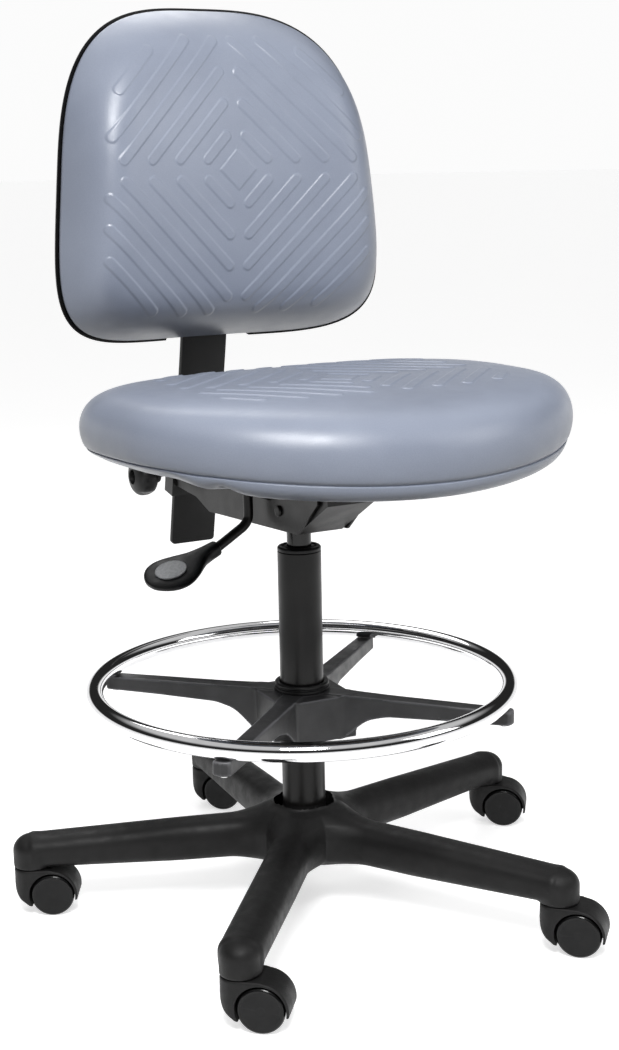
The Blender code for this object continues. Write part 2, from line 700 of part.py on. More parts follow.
def back_arm(parent, pivot):
    """Two side plates beside the chassis, run back to a leaning sleeve that holds the upright."""
    side = [
        (-0.058, 0.4490), (0.168, 0.4372), (0.205, 0.4500), (0.266, 0.4550), (0.262, 0.4960),
        (0.215, 0.4960), (0.168, 0.5030), (-0.103, 0.5040), (-0.1045, 0.4900),
    ]
    plates = [prism(side, sx * ARM_X, sx * (ARM_X + ARM_SHEET)) for sx in (-1, 1)]
    lean = upright_lean()
    through = Vector((0, lean.z, -lean.y))
    def leaning(half_x, half_depth, low, high):
        corners = [upright_at(low), upright_at(high)]
        outline = [corners[0] - through * half_depth, corners[0] + through * half_depth,
                   corners[1] + through * half_depth, corners[1] - through * half_depth]
        return prism([(p.y, p.z) for p in outline], -half_x, half_x)

    sleeve = leaning(SLEEVE_HALF_WIDTH, SLEEVE_HALF_DEPTH, SLEEVE_LOW, SLEEVE_HIGH)
    web = block((-ARM_X - 0.001, 0.160, 0.4520), (ARM_X + 0.001, 0.163, 0.4960))
    shape = joined(sleeve, [*plates, web])
    slot = leaning(UPRIGHT_HALF_WIDTH + GAP, UPRIGHT_HALF_THICK + GAP, 0.40, 0.56)
    notch = block((-0.06, LEVER_Y - 0.0215, 0.4770), (-0.02, LEVER_Y + 0.0145, 0.52))
    pivot_hole = bore_x(PIN_R + 0.0002, -0.06, 0.06, (ARM_PIVOT_Y, ARM_PIVOT_Z))
    knob_hole = bore_x(0.0043, -0.06, -0.02, (upright_at(KNOB_Z).y, KNOB_Z))
    shape = cut(shape, [slot, notch, pivot_hole, knob_hole])
    bmesh.ops.translate(shape, verts=shape.verts, vec=-pivot)
    piece("back_arm", shape, "painted_black", parent)


def clamp_knob(parent):
    """Fluted hand knob on a threaded stud, turned about X, with its head away from the sleeve."""
    count = 28
    def ring(x, radius, flute):
        points = []
        for k in range(count):
            t = math.tau * k / count
            r = radius - flute * (0.5 + 0.5 * math.cos(7 * t)) if flute else radius
            points.append((x, r * math.cos(t), r * math.sin(t)))
        return points

    rings = [
        ring(-0.0305, 0.004, 0), ring(-0.0520, 0.004, 0), ring(-0.0522, 0.0100, 0), ring(-0.0560, 0.0110, 0),
        ring(-0.0585, KNOB_R - 0.002, 0.0028), ring(-0.0610, KNOB_R, 0.0030), ring(-0.0850, KNOB_R, 0.0030),
        ring(-0.0885, KNOB_R - 0.0035, 0.0025), ring(-0.0885, 0.012, 0),
    ]
    piece("clamp_knob", rings_to_bmesh(rings), "moulded_black", parent)


def upright_path():
    """Middle line of the upright in side view: a lean, a gentle bend, then straight up behind the pad."""
    foot = upright_at(UPRIGHT_FOOT[1])
    bend_start = upright_at(UPRIGHT_KNEE[1] - 0.030)
    knee = upright_at(UPRIGHT_KNEE[1])
    above = Vector((0, knee.y - 0.0015, knee.z + 0.030))
    top = Vector((0, knee.y - 0.0015, UPRIGHT_TOP))
    bend = []
    for i in range(1, 6):
        t = i / 6
        bend.append(bend_start * (1 - t) ** 2 + knee * 2 * t * (1 - t) + above * t * t)
    return [foot, bend_start, *bend, above, top]


def back_upright(parent, origin):
    path = upright_path()
    rings = []
    for i, point in enumerate(path):
        ahead = (path[min(i + 1, len(path) - 1)] - path[max(i - 1, 0)]).normalized()
        out = Vector((0, ahead.z, -ahead.y)) * UPRIGHT_HALF_THICK
        half = Vector((UPRIGHT_HALF_WIDTH, 0, 0))
        rings.append([point - half - out - origin, point + half - out - origin,
                      point + half + out - origin, point - half + out - origin])
    shape = rings_to_bmesh(rings)
    holes = [prism(circle(0.0028, 10, (0, z - origin.z)), -0.1, 0.1, "XZ") for z in BACK_SCREW_Z]
    piece("back_upright", cut(shape, holes), "painted_black", parent)


def back_outline(scale, count=36):
    """The back seen from the front: round above, squarer and wider below."""
    points = []
    for k in range(count):
        x, w = rounded_point(math.tau * k / count, BACK_HALF_WIDTH, BACK_HALF_HEIGHT, 4.8, 3.03)
        x *= 1 - BACK_TAPER * w / BACK_HALF_HEIGHT
        points.append((scale * x, scale * w))
    return points


def back_sheet(scale, depth, origin):
    """One ring of the back, laid on the wrapped sheet that brings the sides forward."""
    ring = []
    for x, w in back_outline(scale):
        y = BACK_Y + depth - BACK_WRAP * (x / BACK_HALF_WIDTH) ** 2
        ring.append(Vector((x, y, BACK_Z + w)) - origin)
    return ring


def back_front(x, z):
    """Depth of the pad's front: furthest forward at the lumbar, leaning away above and below it."""
    return LUMBAR_Y + LUMBAR_BEND * (z - LUMBAR_Z) ** 2 - FRONT_WRAP * (x / BACK_HALF_WIDTH) ** 2


def back_cushion(parent, origin):
    """Rings on the rear sheet, then rings that cross from the rim, share 0, to the front, share 1."""
    rings = [back_sheet(scale, depth, origin) for scale, depth in ((0.55, -0.0035), (0.90, -0.0010), (0.985, 0.0))]
    crossing = (
        (1.0, 0.10), (0.975, 0.27), (0.94, 0.47), (0.88, 0.78), (0.80, 0.945), (0.70, 1.0), (0.50, 1.0), (0.25, 1.0),
    )
    for scale, share in crossing:
        ring = []
        for point in back_sheet(scale, 0.0, origin):
            front = back_front(point.x, point.z + origin.z) - origin.y
            ring.append(Vector((point.x, point.y + (front - point.y) * share, point.z)))
        rings.append(ring)
    piece("back_cushion", rings_to_bmesh(rings), "polyurethane", parent)


def back_shell(parent, origin):
    """Thin moulded cover behind the pad, with a notch at the bottom for the upright."""
    outer = [
        (1.008, 0.0004), (0.99, 0.010), (0.93, 0.0165), (0.80, 0.0195), (0.5, SHELL_BULGE), (0.2, SHELL_BULGE),
    ]
    inner = [(scale - 0.012, depth - SHELL_WALL) for scale, depth in outer[:0:-1]]
    steps = [*outer[::-1], (0.996, 0.0004)]
    rings = [back_sheet(scale, depth, origin) for scale, depth in steps]
    rings += [back_sheet(scale, depth, origin) for scale, depth in reversed(inner)]
    low = BACK_Z - BACK_HALF_HEIGHT
    notch = [(-0.052, low - 0.02), (0.052, low - 0.02), (0.036, low + 0.032), (-0.036, low + 0.032)]
    cutter = prism([(x - origin.x, z - origin.z) for x, z in notch], 0.20 - origin.y, 0.30 - origin.y, "XZ")
    piece("back_shell", cut(rings_to_bmesh(rings), [cutter]), "moulded_black", parent)


def back_screws(parent, origin):
    back_face = UPRIGHT_KNEE[0] - 0.0015 + UPRIGHT_HALF_THICK
    for i, z in enumerate(BACK_SCREW_Z):
        head, tip = -0.003 - GAP, 0.0088
        profile = [(0, head), (0.004, head), (0.005, -GAP), (0.0025, -GAP), (0.0025, tip), (0, tip)]
        shape = turned(profile, 12, closed=False)
        bmesh.ops.rotate(shape, verts=shape.verts, cent=(0, 0, 0), matrix=Matrix.Rotation(math.pi / 2, 3, "X"))
        piece(f"back_screw_{i + 1}", shape, "bright_steel", parent, (0, back_face - origin.y, z - origin.z))


def build():
    clear_scene()
    origin = empty("column_axis", (AXIS_X, AXIS_Y, 0))
    base_star(origin)
    column(origin)
    piston(empty("seat_swivel_axis", parent=origin))
    castors(origin)

    ring = empty("foot_ring_axis", parent=origin)
    foot_ring(ring)
    ring_hub(ring)
    ring_screws(ring)
    lock_collar(empty("lock_collar_axis", parent=ring))

    control = empty("seat_height_axis", parent=origin)
    gas_cylinder(control)
    release_pin(empty("release_pin_axis", parent=control))
    chassis(control)
    pivot_pins(control)
    seat_plate(control)
    seat_bolts(control)
    seat_pan(control)
    seat_cushion(control)

    lever_pivot = Vector((-CHASSIS_HALF_WIDTH + 0.001, 0, LEVER_Z))
    height_lever(empty("height_lever_axis", lever_pivot, control), lever_pivot)

    arm_pivot = Vector((0, ARM_PIVOT_Y, ARM_PIVOT_Z))
    arm = empty("back_angle_axis", arm_pivot, control)
    back_arm(arm, arm_pivot)
    knob_place = Vector((0, upright_at(KNOB_Z).y, KNOB_Z))
    clamp_knob(empty("clamp_knob_axis", knob_place - arm_pivot, arm))
    foot = upright_at(UPRIGHT_FOOT[1])
    slide = empty("back_height_axis", foot - arm_pivot, arm)
    back_upright(slide, foot)
    back_shell(slide, foot)
    back_cushion(slide, foot)
    back_screws(slide, foot)


build()
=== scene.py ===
"""Drafting chair: moulded cushions, a gas column with a foot ring, a seat control and a castor base.

Laid out as an add-on and run as a script. The packed model is the frame; each operator makes one piece or one
group of like pieces around it. Metres, +Z up; the sitter faces -Y and the height lever is on the -X side.
"""

import json
import math

import bmesh
import bpy
import numpy as np
from bpy.props import FloatProperty, FloatVectorProperty, IntProperty, PointerProperty
from mathutils import Matrix, Vector

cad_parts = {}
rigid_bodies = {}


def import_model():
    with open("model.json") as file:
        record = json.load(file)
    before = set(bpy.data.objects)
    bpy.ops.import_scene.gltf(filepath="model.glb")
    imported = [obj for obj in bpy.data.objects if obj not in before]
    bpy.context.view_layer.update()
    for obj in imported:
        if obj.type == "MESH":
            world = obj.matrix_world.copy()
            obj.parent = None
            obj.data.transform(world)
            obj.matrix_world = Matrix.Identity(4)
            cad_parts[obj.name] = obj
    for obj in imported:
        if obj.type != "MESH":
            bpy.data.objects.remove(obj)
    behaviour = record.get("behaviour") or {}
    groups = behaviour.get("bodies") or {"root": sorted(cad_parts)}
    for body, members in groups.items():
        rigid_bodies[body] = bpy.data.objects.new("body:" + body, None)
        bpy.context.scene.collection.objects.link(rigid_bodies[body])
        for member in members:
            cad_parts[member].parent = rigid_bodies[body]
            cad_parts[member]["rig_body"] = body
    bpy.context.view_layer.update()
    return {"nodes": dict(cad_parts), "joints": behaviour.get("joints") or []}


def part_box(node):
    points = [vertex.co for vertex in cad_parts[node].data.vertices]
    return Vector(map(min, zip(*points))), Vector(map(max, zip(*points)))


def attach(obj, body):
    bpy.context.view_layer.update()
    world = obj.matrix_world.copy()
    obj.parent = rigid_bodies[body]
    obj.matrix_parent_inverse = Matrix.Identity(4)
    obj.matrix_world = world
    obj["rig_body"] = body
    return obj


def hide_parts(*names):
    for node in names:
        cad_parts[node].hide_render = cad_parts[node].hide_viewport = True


bl_info = {
    "name": "Drafting Chair",
    "version": (1, 0, 0),
    "blender": (4, 5, 0),
    "location": "View3D > Sidebar > Drafting Chair",
    "description": "Builds the cushions, column, foot ring, control and castor base of a drafting chair",
    "category": "Add Mesh",
}

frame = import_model()


def middle_of(node):
    return np.mean(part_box(node), axis=0)


AXIS = middle_of("column_tube") * (1, 1, 0)


def place_of(node):
    """Middle of a node, measured from the column's axis."""
    return middle_of(node) - AXIS


def low_of(node, axis):
    """Lowest value of a node along one axis, measured from the column's axis."""
    return float(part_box(node)[0][axis] - AXIS[axis])


def high_of(node, axis):
    return float(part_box(node)[1][axis] - AXIS[axis])


def joint_place(name):
    """Where a joint stands, measured from the column's axis."""
    joint = next(joint for joint in frame["joints"] if joint["name"] == name)
    return np.array(joint["pos_m"]) - AXIS


# ---- meshes ----
def together(*shapes):
    """Several (points, faces) shapes as one, each keeping its own closed skin."""
    points, faces, count = [], [], 0
    for shape_points, shape_faces in shapes:
        points.append(np.asarray(shape_points, float))
        faces += [[index + count for index in face] for face in shape_faces]
        count += len(shape_points)
    return np.concatenate(points), faces


def facing_out(points, faces):
    """Turn every face round if the skin's signed volume, the sum of p0 . (p1 x p2) / 6, is negative."""
    halves = [[face[0], *face[-2:]] for face in faces if len(face) == 4]
    corners = np.array([face[:3] for face in faces] + halves)
    a, b, c = (points[corners[:, k]] for k in range(3))
    volume = np.einsum("ij,ij->i", a, np.cross(b, c)).sum()
    return [face[::-1] for face in faces] if volume < 0 else faces


def lofted(rings, loop=False):
    """Skin over rings of equally many points: quads between neighbours, and a fan across each end."""
    rings = np.asarray(rings, float)
    rows, columns = rings.shape[:2]
    i = np.arange(rows if loop else rows - 1)[:, None]
    j = np.arange(columns)[None, :]
    k, m = (i + 1) % rows, (j + 1) % columns
    quads = np.stack([i * columns + j, i * columns + m, k * columns + m, k * columns + j], -1).reshape(-1, 4)
    points = rings.reshape(-1, 3)
    faces = quads.tolist()
    if not loop:
        first, last = len(points), len(points) + 1
        points = np.vstack([points, rings[0].mean(0), rings[-1].mean(0)])
        end = (rows - 1) * columns
        faces += [[first, (n + 1) % columns, n] for n in range(columns)]
        faces += [[last, end + n, end + (n + 1) % columns] for n in range(columns)]
    return points, facing_out(points, faces)


def bent(start, corner, stop, steps):
    """A quadratic curve from start to stop, bent towards the corner."""
    t = np.linspace(0, 1, steps + 1)[:, None]
    return start * (1 - t) ** 2 + corner * 2 * t * (1 - t) + stop * t * t


def eased(outline, radius, closed=True):
    """Round an outline's corners: each becomes a curve that starts radius away, or 0.45 of a shorter side."""
    outline = np.asarray(outline, float)
    count = len(outline)
    points = []
    for n, corner in enumerate(outline):
        if not closed and n in (0, count - 1):
            points.append(corner)
            continue
        ends = []
        for side in (outline[n - 1] - corner, outline[(n + 1) % count] - corner):
            far = np.linalg.norm(side)
            ends.append(corner + side / far * min(radius, 0.45 * far))
        points += list(bent(ends[0], corner, ends[1], 4))
    return np.array(points)


def turned(profile, segments=96, loop=True, ease=0.0, radius_of=None):
    """Turn (radius, z) points about Z. radius_of(radius, z, angle) may vary the radius round the turn."""
    profile = np.asarray(profile, float)
    if ease:
        profile = eased(profile, ease, closed=loop)
    angle = np.linspace(0, math.tau, segments, endpoint=False)[None, :]
    radius, z = profile[:, :1], profile[:, 1:]
    wide = radius_of(radius, z, angle) if radius_of else radius + 0 * angle
    rings = np.stack([wide * np.cos(angle), wide * np.sin(angle), z + 0 * angle], -1)
    return lofted(rings, loop)


def placed(shape, to=(0, 0, 0), along=(0, 0, 1), spin=0.0):
    """Lay a shape's own Z along a direction and move it, after turning it about its own Z."""
    turn = Vector((0, 0, 1)).rotation_difference(Vector(along)).to_matrix() @ Matrix.Rotation(spin, 3, "Z")
    return shape[0] @ np.array(turn).T + np.asarray(to), shape[1]


def swept(path, section):
    """Carry a closed (side, up) section along a path; the side stays as level as it was at the start."""
    ahead = np.gradient(path, axis=0)
    ahead /= np.linalg.norm(ahead, axis=1)[:, None]
    side = np.cross(ahead[0], (0, 1, 0) if abs(ahead[0][1]) < 0.9 else (1, 0, 0))
    rings = []
    for point, forward in zip(path, ahead):
        side = side - forward * (side @ forward)
        side = side / np.linalg.norm(side)
        up = np.cross(forward, side)
        rings.append(point + section[:, :1] * side + section[:, 1:] * up)
    return lofted(rings)


def smooth_path(points, samples):
    """A Catmull-Rom curve through points: each stretch is a cubic whose slopes join its neighbours."""
    points = np.asarray(points, float)
    padded = np.vstack([2 * points[0] - points[1], points, 2 * points[-1] - points[-2]])
    where = np.linspace(0, len(points) - 1, samples)
    index = np.minimum(where.astype(int), len(points) - 2)
    t = (where - index)[:, None]
    a, b, c, d = (padded[index + k] for k in range(4))
    return 0.5 * (2 * b + (c - a) * t + (2 * a - 5 * b + 4 * c - d) * t**2 + (3 * b - a - 3 * c + d) * t**3)


def round_section(radius, count=24):
    angle = np.linspace(0, math.tau, count, endpoint=False)
    return np.stack([radius * np.cos(angle), radius * np.sin(angle)], -1)


def blended(field, low, high, step):
    """Skin of the solid where field(x, y, z) is negative: one point in each cell of a grid that the surface
    crosses, moved onto the surface by Newton's steps p - f g / |g|^2, and a quad round each crossed edge."""
    axes = [np.arange(a - 2 * step, b + 2 * step, step) for a, b in zip(low, high)]
    grid = np.meshgrid(*axes, indexing="ij")
    inside = field(*grid) < 0
    cells = tuple(n - 1 for n in inside.shape)
    count = np.zeros(cells, int)
    for i, j, k in np.ndindex(2, 2, 2):
        count += inside[i:cells[0] + i, j:cells[1] + j, k:cells[2] + k]
    crossed = (count > 0) & (count < 8)
    number = np.full(cells, -1)
    number[crossed] = np.arange(crossed.sum())
    where = np.argwhere(crossed)
    points = np.stack([axes[a][where[:, a]] + step / 2 for a in range(3)], -1)
    nudge = step * 0.05
    for _ in range(5):
        value = field(*points.T)
        change = [field(*(points + move).T) - field(*(points - move).T) for move in np.eye(3) * nudge]
        slope = np.stack(change, -1) / (2 * nudge)
        shift = value[:, None] * slope / np.maximum((slope**2).sum(1), 1e-3)[:, None]
        reach = np.linalg.norm(shift, axis=1)[:, None]
        points -= shift * np.minimum(1, 0.6 * step / np.maximum(reach, 1e-12))
    quads = []
    for a in range(3):
        b, c = (a + 1) % 3, (a + 2) % 3
        first = np.moveaxis(inside, (a, b, c), (0, 1, 2))
        cell = np.moveaxis(number, (a, b, c), (0, 1, 2))
        changed = np.argwhere(first[:-1, 1:-1, 1:-1] != first[1:, 1:-1, 1:-1])
        x, y, z = changed[:, 0], changed[:, 1] + 1, changed[:, 2] + 1
        around = np.stack([cell[x, y - j, z - k] for j, k in ((0, 0), (1, 0), (1, 1), (0, 1))], -1)
        leaving = first[x, y, z]
        around[leaving] = around[leaving][:, ::-1]
        quads.append(around)
    faces = np.concatenate(quads).tolist()
    return points, facing_out(points, faces)


def both(a, b, ease):
    """Smooth intersection of two fields: their greater value, rounded within ease of where they are equal."""
    share = np.clip(0.5 - 0.5 * (b - a) / ease, 0, 1)
    return b * (1 - share) + a * share + ease * share * (1 - share)


def either(a, b, ease):
    """Smooth union of two fields: their lesser value, with a fillet within ease of where they are equal."""
    return -both(-a, -b, ease)


def steps_between(value, places, sizes):
    """Sizes at places, read between them as the mean of three straight-line readings, shifted a little."""
    spread = (places[-1] - places[0]) * 0.02
    return sum(np.interp(value + shift, places, sizes) for shift in (-spread, 0, spread)) / 3


def folded(x, y, count, first_deg=0.0):
    """In one of count alike sectors: the radius, the distance along its middle, and the distance aside."""
    sector = math.tau / count
    angle = (np.arctan2(y, x) - math.radians(first_deg) + sector / 2) % sector - sector / 2
    radius = np.hypot(x, y)
    return radius, radius * np.cos(angle), np.abs(radius * np.sin(angle))


# ---- objects ----
def linked(name, data):
    """A new object in the scene for a mesh, a light or a camera."""
    held = bpy.data.objects.new(name, data)
    bpy.context.scene.collection.objects.link(held)
    return held


def mesh_of(name, shape):
    """A mesh from a shape given about the column's axis."""
    mesh = bpy.data.meshes.new(name)
    mesh.from_pydata((np.asarray(shape[0]) + AXIS).tolist(), [], shape[1])
    return mesh


def smoothed(mesh, sharp_deg):
    mesh.shade_smooth()
    mesh.set_sharp_from_angle(angle=math.radians(sharp_deg))


def stand_in(made, node):
    """Put an object in place of a CAD node, on the node's body and in its material slot."""
    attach(made, frame["nodes"][node]["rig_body"])
    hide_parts(node)
    return made


def make(name, shape, finish, node, sharp_deg=40):
    """An object from a shape given about the column's axis, in place of a CAD node."""
    mesh = mesh_of(name, shape)
    smoothed(mesh, sharp_deg)
    mesh.materials.append(bpy.data.materials[finish])
    return stand_in(linked(name, mesh), node)


def carved(made, shape):
    """Cut a closed shape out of an object for good."""
    tool = linked("cutter", mesh_of("cutter", shape))
    change = made.modifiers.new("cut", "BOOLEAN")
    change.operation, change.solver, change.object = "DIFFERENCE", "EXACT", tool
    bpy.context.view_layer.update()
    done = bpy.data.meshes.new_from_object(made.evaluated_get(bpy.context.evaluated_depsgraph_get()))
    made.modifiers.clear()
    made.data = done
    bpy.data.objects.remove(tool, do_unlink=True)


def softened(node, finish, bevel):
    """A sheet-metal CAD node with rounded edges: a merged copy, its flat faces made whole, then a bevel."""
    mesh = frame["nodes"][node].data.copy()
    form = bmesh.new()
    form.from_mesh(mesh)
    bmesh.ops.remove_doubles(form, verts=form.verts, dist=1e-6)
    bmesh.ops.dissolve_limit(form, angle_limit=math.radians(0.5), verts=form.verts, edges=form.edges)
    form.to_mesh(mesh)
    form.free()
    mesh.materials.clear()
    mesh.materials.append(bpy.data.materials[finish])
    smoothed(mesh, 35)
    made = linked(f"{node}_finished", mesh)
    rounding = made.modifiers.new("edge rounding", "BEVEL")
    rounding.width, rounding.segments = bevel, 3
    rounding.limit_method, rounding.angle_limit = "ANGLE", math.radians(30)
    rounding.harden_normals = True
    stand_in(made, node)


def repaint(finish, *nodes):
    """Give carried-over CAD nodes a procedural finish."""
    for node in nodes:
        for held in frame["nodes"][node].material_slots:
            held.material = bpy.data.materials[finish]


# ---- operators ----
OPERATORS = []


def operator(build):
    """Make an operator of a function that takes the scene; its name and docstring give the operator's own."""
    name = build.__name__

    def execute(self, context):
        build(context.scene)
        return {"FINISHED"}

    OPERATORS.append(type(f"CHAIR_OT_{name}", (bpy.types.Operator,), {
        "__doc__": build.__doc__,
        "bl_idname": f"chair.{name}",
        "bl_label": name.replace("_", " ").title(),
        "bl_options": {"REGISTER", "UNDO"},
        "execute": execute,
    }))
    return build


# ---- settings ----
def length(name, metres, text):
    return FloatProperty(name=name, description=text, default=metres, unit="LENGTH", precision=5)


def turning(name, degrees, text):
    return FloatProperty(name=name, description=text, default=math.radians(degrees), subtype="ANGLE")


def colour(name, rgb, text):
    limits = {"size": 3, "min": 0, "max": 1}
    return FloatVectorProperty(name=name, description=text, default=rgb, subtype="COLOR", **limits)


class CushionSettings(bpy.types.PropertyGroup):
    skin: colour("Skin", (0.246, 0.276, 0.350), "Main colour of the moulded skin")
    skin_dark: colour("Skin, darker", (0.222, 0.250, 0.320), "Colour of the skin's faint mottling")
    bar_radius: length("Bar radius", 0.0057, "Half width of a raised bar, and the radius of its round ends")
    bar_first: length("First bar", 0.050, "|x| + |w| along the middle of the bar nearest the diamond")
    bar_pitch: length("Bar pitch", 0.036, "Growth of |x| + |w| from one bar to the next")
    bar_gap: length("Bar gap", 0.012, "Distance of a bar's end from the pattern's middle lines")
    bar_relief: length("Bar relief", 0.0010, "Height of the bars above the skin")
    bar_edge: length("Bar edge", 0.0020, "Width over which a bar's edge rises")
    diamond: length("Diamond", 0.0235, "|x| + |w| at the edge of the middle diamond")


class SeatSettings(bpy.types.PropertyGroup):
    middle_y: length("Middle", -0.118, "Middle of the seat in front of the column")
    edge_z: length("Edge height", 0.5807, "Height of the seat's widest edge")
    half_width: length("Half width", 0.262, "Half width at the seat's middle")
    half_depth: length("Half depth", 0.202, "Half depth from front to back")
    rise: length("Rise", 0.043, "Crown above the widest edge")
    sink: length("Sink", 0.0415, "Depth below the widest edge")
    drop: length("Front drop", 0.016, "How far the front rolls down")
    pattern_y: length("Pattern middle", -0.100, "Middle of the raised bars in front of the column")


class BackSettings(bpy.types.PropertyGroup):
    middle_z: length("Middle", 0.836, "Height of the middle of the back")
    rim_y: length("Rim", 0.2297, "Rear sheet behind the column at the middle of the back")
    half_width: length("Half width", 0.1993, "Half width of the back")
    half_height: length("Half height", 0.1908, "Half height of the back")
    wrap: length("Wrap", 0.049, "How far the rim's sides come forward")
    lumbar_y: length("Lumbar", 0.129, "Front of the pad at the lumbar")
    lumbar_z: length("Lumbar height", 0.812, "Height where the pad stands furthest forward")
    front_wrap: length("Front wrap", 0.0254, "How far the front's sides come forward")
    pattern_z: length("Pattern middle", 0.843, "Height of the middle of the raised bars")
    shell_bulge: length("Shell bulge", 0.021, "Depth of the rear shell")


class BaseSettings(bpy.types.PropertyGroup):
    leg_half_width: length("Leg half width", 0.0235, "Half width of a leg")
    socket_radius: length("Socket radius", 0.0218, "Radius of a leg's round end")
    hub_fillet: length("Hub fillet", 0.030, "Reach of the fillets between the legs and the hub")
    grain: length("Mesh step", 0.0020, "Grid step of the base's skin")


class RingSettings(bpy.types.PropertyGroup):
    radius: length("Ring radius", high_of("foot_ring", 0) - 0.0105, "Radius to the middle of the ring's tube")
    tube: length("Tube radius", 0.0105, "Radius of the ring's tube")
    height: length("Height", place_of("foot_ring")[2], "Height of the ring's middle")
    segments: IntProperty(name="Segments", description="Steps round the ring", default=288, min=24)


class StageSettings(bpy.types.PropertyGroup):
    distance: length("Distance", 1.8509, "Camera's distance from the column's axis")
    height: length("Height", 0.8356, "Camera's height")
    turn: turning("Turn", 28.1677, "Chair's turn in the view")
    pitch: turning("Pitch", 11.8799, "How far the camera looks down")
    roll: turning("Roll", -1.1690, "Camera's roll")
    lens: FloatProperty(name="Lens", description="Focal length, 36 mm sensor", default=57.086, unit="CAMERA")
    shift: FloatProperty(name="Shift", description="Sideways shift of the frame", default=0.01035)


GROUPS = {
    "chair_cushion": CushionSettings,
    "chair_seat": SeatSettings,
    "chair_back": BackSettings,
    "chair_base": BaseSettings,
    "chair_ring": RingSettings,
    "chair_stage": StageSettings,
}


# ---- finishes ----
def times(factor, tone):
    return tuple(min(1, factor * part) for part in tone)


class Shader:
    """A material with a Principled BSDF, and short ways of adding the nodes that feed it."""

    def __init__(self, name, roughness, metallic=0.0, coat=0.0, coat_roughness=0.2, sheen=0.0, level=0.5):
        found = bpy.data.materials.get(name)
        if found:
            bpy.data.materials.remove(found)
        self.material = bpy.data.materials.new(name)
        self.material.use_nodes = True
        self.tree = self.material.node_tree
        self.bsdf = self.tree.nodes["Principled BSDF"]
        values = {"Roughness": roughness, "Metallic": metallic, "Coat Weight": coat,
                  "Coat Roughness": coat_roughness, "Sheen Weight": sheen, "Specular IOR Level": level}
        for socket, value in values.items():
            self.bsdf.inputs[socket].default_value = value
        self.place = self.add("ShaderNodeTexCoord").outputs["Object"]

    def add(self, kind, **values):
        node = self.tree.nodes.new(kind)
        for name, value in values.items():
            setattr(node, name, value)
        return node

    def link(self, start, stop):
        self.tree.links.new(start, stop)

    def stretched(self, scale):
        node = self.add("ShaderNodeMapping")
        node.inputs["Scale"].default_value = scale
        self.link(self.place, node.inputs["Vector"])
        return node.outputs["Vector"]

    def noise(self, scale, detail, vector=None):
        node = self.add("ShaderNodeTexNoise")
        node.inputs["Scale"].default_value = scale
        node.inputs["Detail"].default_value = detail
        self.link(vector or self.place, node.inputs["Vector"])
        return node.outputs["Fac"]

    def ramp(self, value, low=0.3, high=0.7, out_low=0.0, out_high=1.0):
        """A value spread smoothly from its own low and high to the wanted ones."""
        node = self.add("ShaderNodeMapRange", interpolation_type="SMOOTHSTEP")
        for socket, end in (("From Min", low), ("From Max", high), ("To Min", out_low), ("To Max", out_high)):
            node.inputs[socket].default_value = end
        self.link(value, node.inputs["Value"])
        return node.outputs["Result"]

    def mixed(self, share, first, second):
        """A colour between two colours or colour outputs; the share is a number or an output too."""
        node = self.add("ShaderNodeMix", data_type="RGBA")
        for key, value in (("Factor", share), (6, first), (7, second)):
            socket = node.inputs[key]
            if isinstance(value, bpy.types.NodeSocket):
                self.link(value, socket)
            else:
                socket.default_value = (*value, 1.0) if isinstance(value, tuple) else value
        return node.outputs[2]

    def coloured(self, output):
        self.link(output, self.bsdf.inputs["Base Color"])

    def rough(self, output):
        self.link(output, self.bsdf.inputs["Roughness"])

    def bumps(self, *layers):
        """Bump nodes in a row; each layer is a height output and the depth that it stands for."""
        normal = None
        for height, depth in layers:
            node = self.add("ShaderNodeBump")
            node.inputs["Strength"].default_value = 1.0
            node.inputs["Distance"].default_value = depth
            self.link(height, node.inputs["Height"])
            if normal:
                self.link(normal, node.inputs["Normal"])
            normal = node.outputs["Normal"]
        self.link(normal, self.bsdf.inputs["Normal"])

    def coated(self, cloud, tones, edge, highlight_pointiness, gloss, *layers):
        """Two tones over a cloudy noise (scale, detail), an edge tone where outward edges are worn, a gloss
        (scale, low, high), and bump layers (scale, detail, depth)."""
        base = self.mixed(self.ramp(self.noise(*cloud)), *tones)
        # painted highlight: outward edges, found by pointiness, are mixed towards the paler edge tone
        edges = self.ramp(self.add("ShaderNodeNewGeometry").outputs["Pointiness"], *highlight_pointiness)
        self.coloured(self.mixed(edges, base, edge))
        self.rough(self.ramp(self.noise(gloss[0], 3), out_low=gloss[1], out_high=gloss[2]))
        self.bumps(*((self.noise(scale, detail), depth) for scale, detail, depth in layers))


def moulded_skin(look):
    """Self-skinned polyurethane: a satin blue-grey with a fine pebble and faint mottling."""
    s = Shader("polyurethane skin", 0.36, sheen=0.04, coat=0.10, coat_roughness=0.32, level=0.6)
    skin = tuple(look.skin)
    base = s.mixed(s.ramp(s.noise(14, 4), 0.35, 0.65), skin, tuple(look.skin_dark))
    speckled = s.mixed(s.ramp(s.noise(950, 2)), times(0.93, skin), times(1.07, skin))
    s.coloured(s.mixed(0.45, base, speckled))
    s.rough(s.ramp(s.noise(45, 3), out_low=0.32, out_high=0.40))
    s.bumps((s.noise(1300, 2), 0.00010), (s.noise(420, 3), 0.00007))


def moulded_nylon(name, tone, roughness, grain, depth):
    """Spark-textured moulding: a dark tone, paler on worn edges, with a fine even grain."""
    # the edge tone, 1.6 times the tone, is a painted highlight on outward edges
    Shader(name, roughness, level=0.26).coated(
        (30, 4), (times(0.88, tone), times(1.12, tone)), times(1.6, tone), (0.51, 0.58),
        (70, roughness - 0.06, roughness + 0.07), (grain, 2, depth), (grain * 0.3, 3, depth * 0.7))


def paint(name, tone, roughness, coat=0.0):
    """Powder coat or enamel: orange peel over steel, thinner and paler on edges."""
    # the edge tone, twice the tone, is a painted highlight on outward edges
    Shader(name, roughness, coat=coat, coat_roughness=0.12, level=0.26).coated(
        (9, 3), (times(0.9, tone), times(1.1, tone)), times(2.0, tone), (0.52, 0.62),
        (38, roughness - 0.04, roughness + 0.05), (330, 2, 0.00005), (1500, 1, 0.00002))


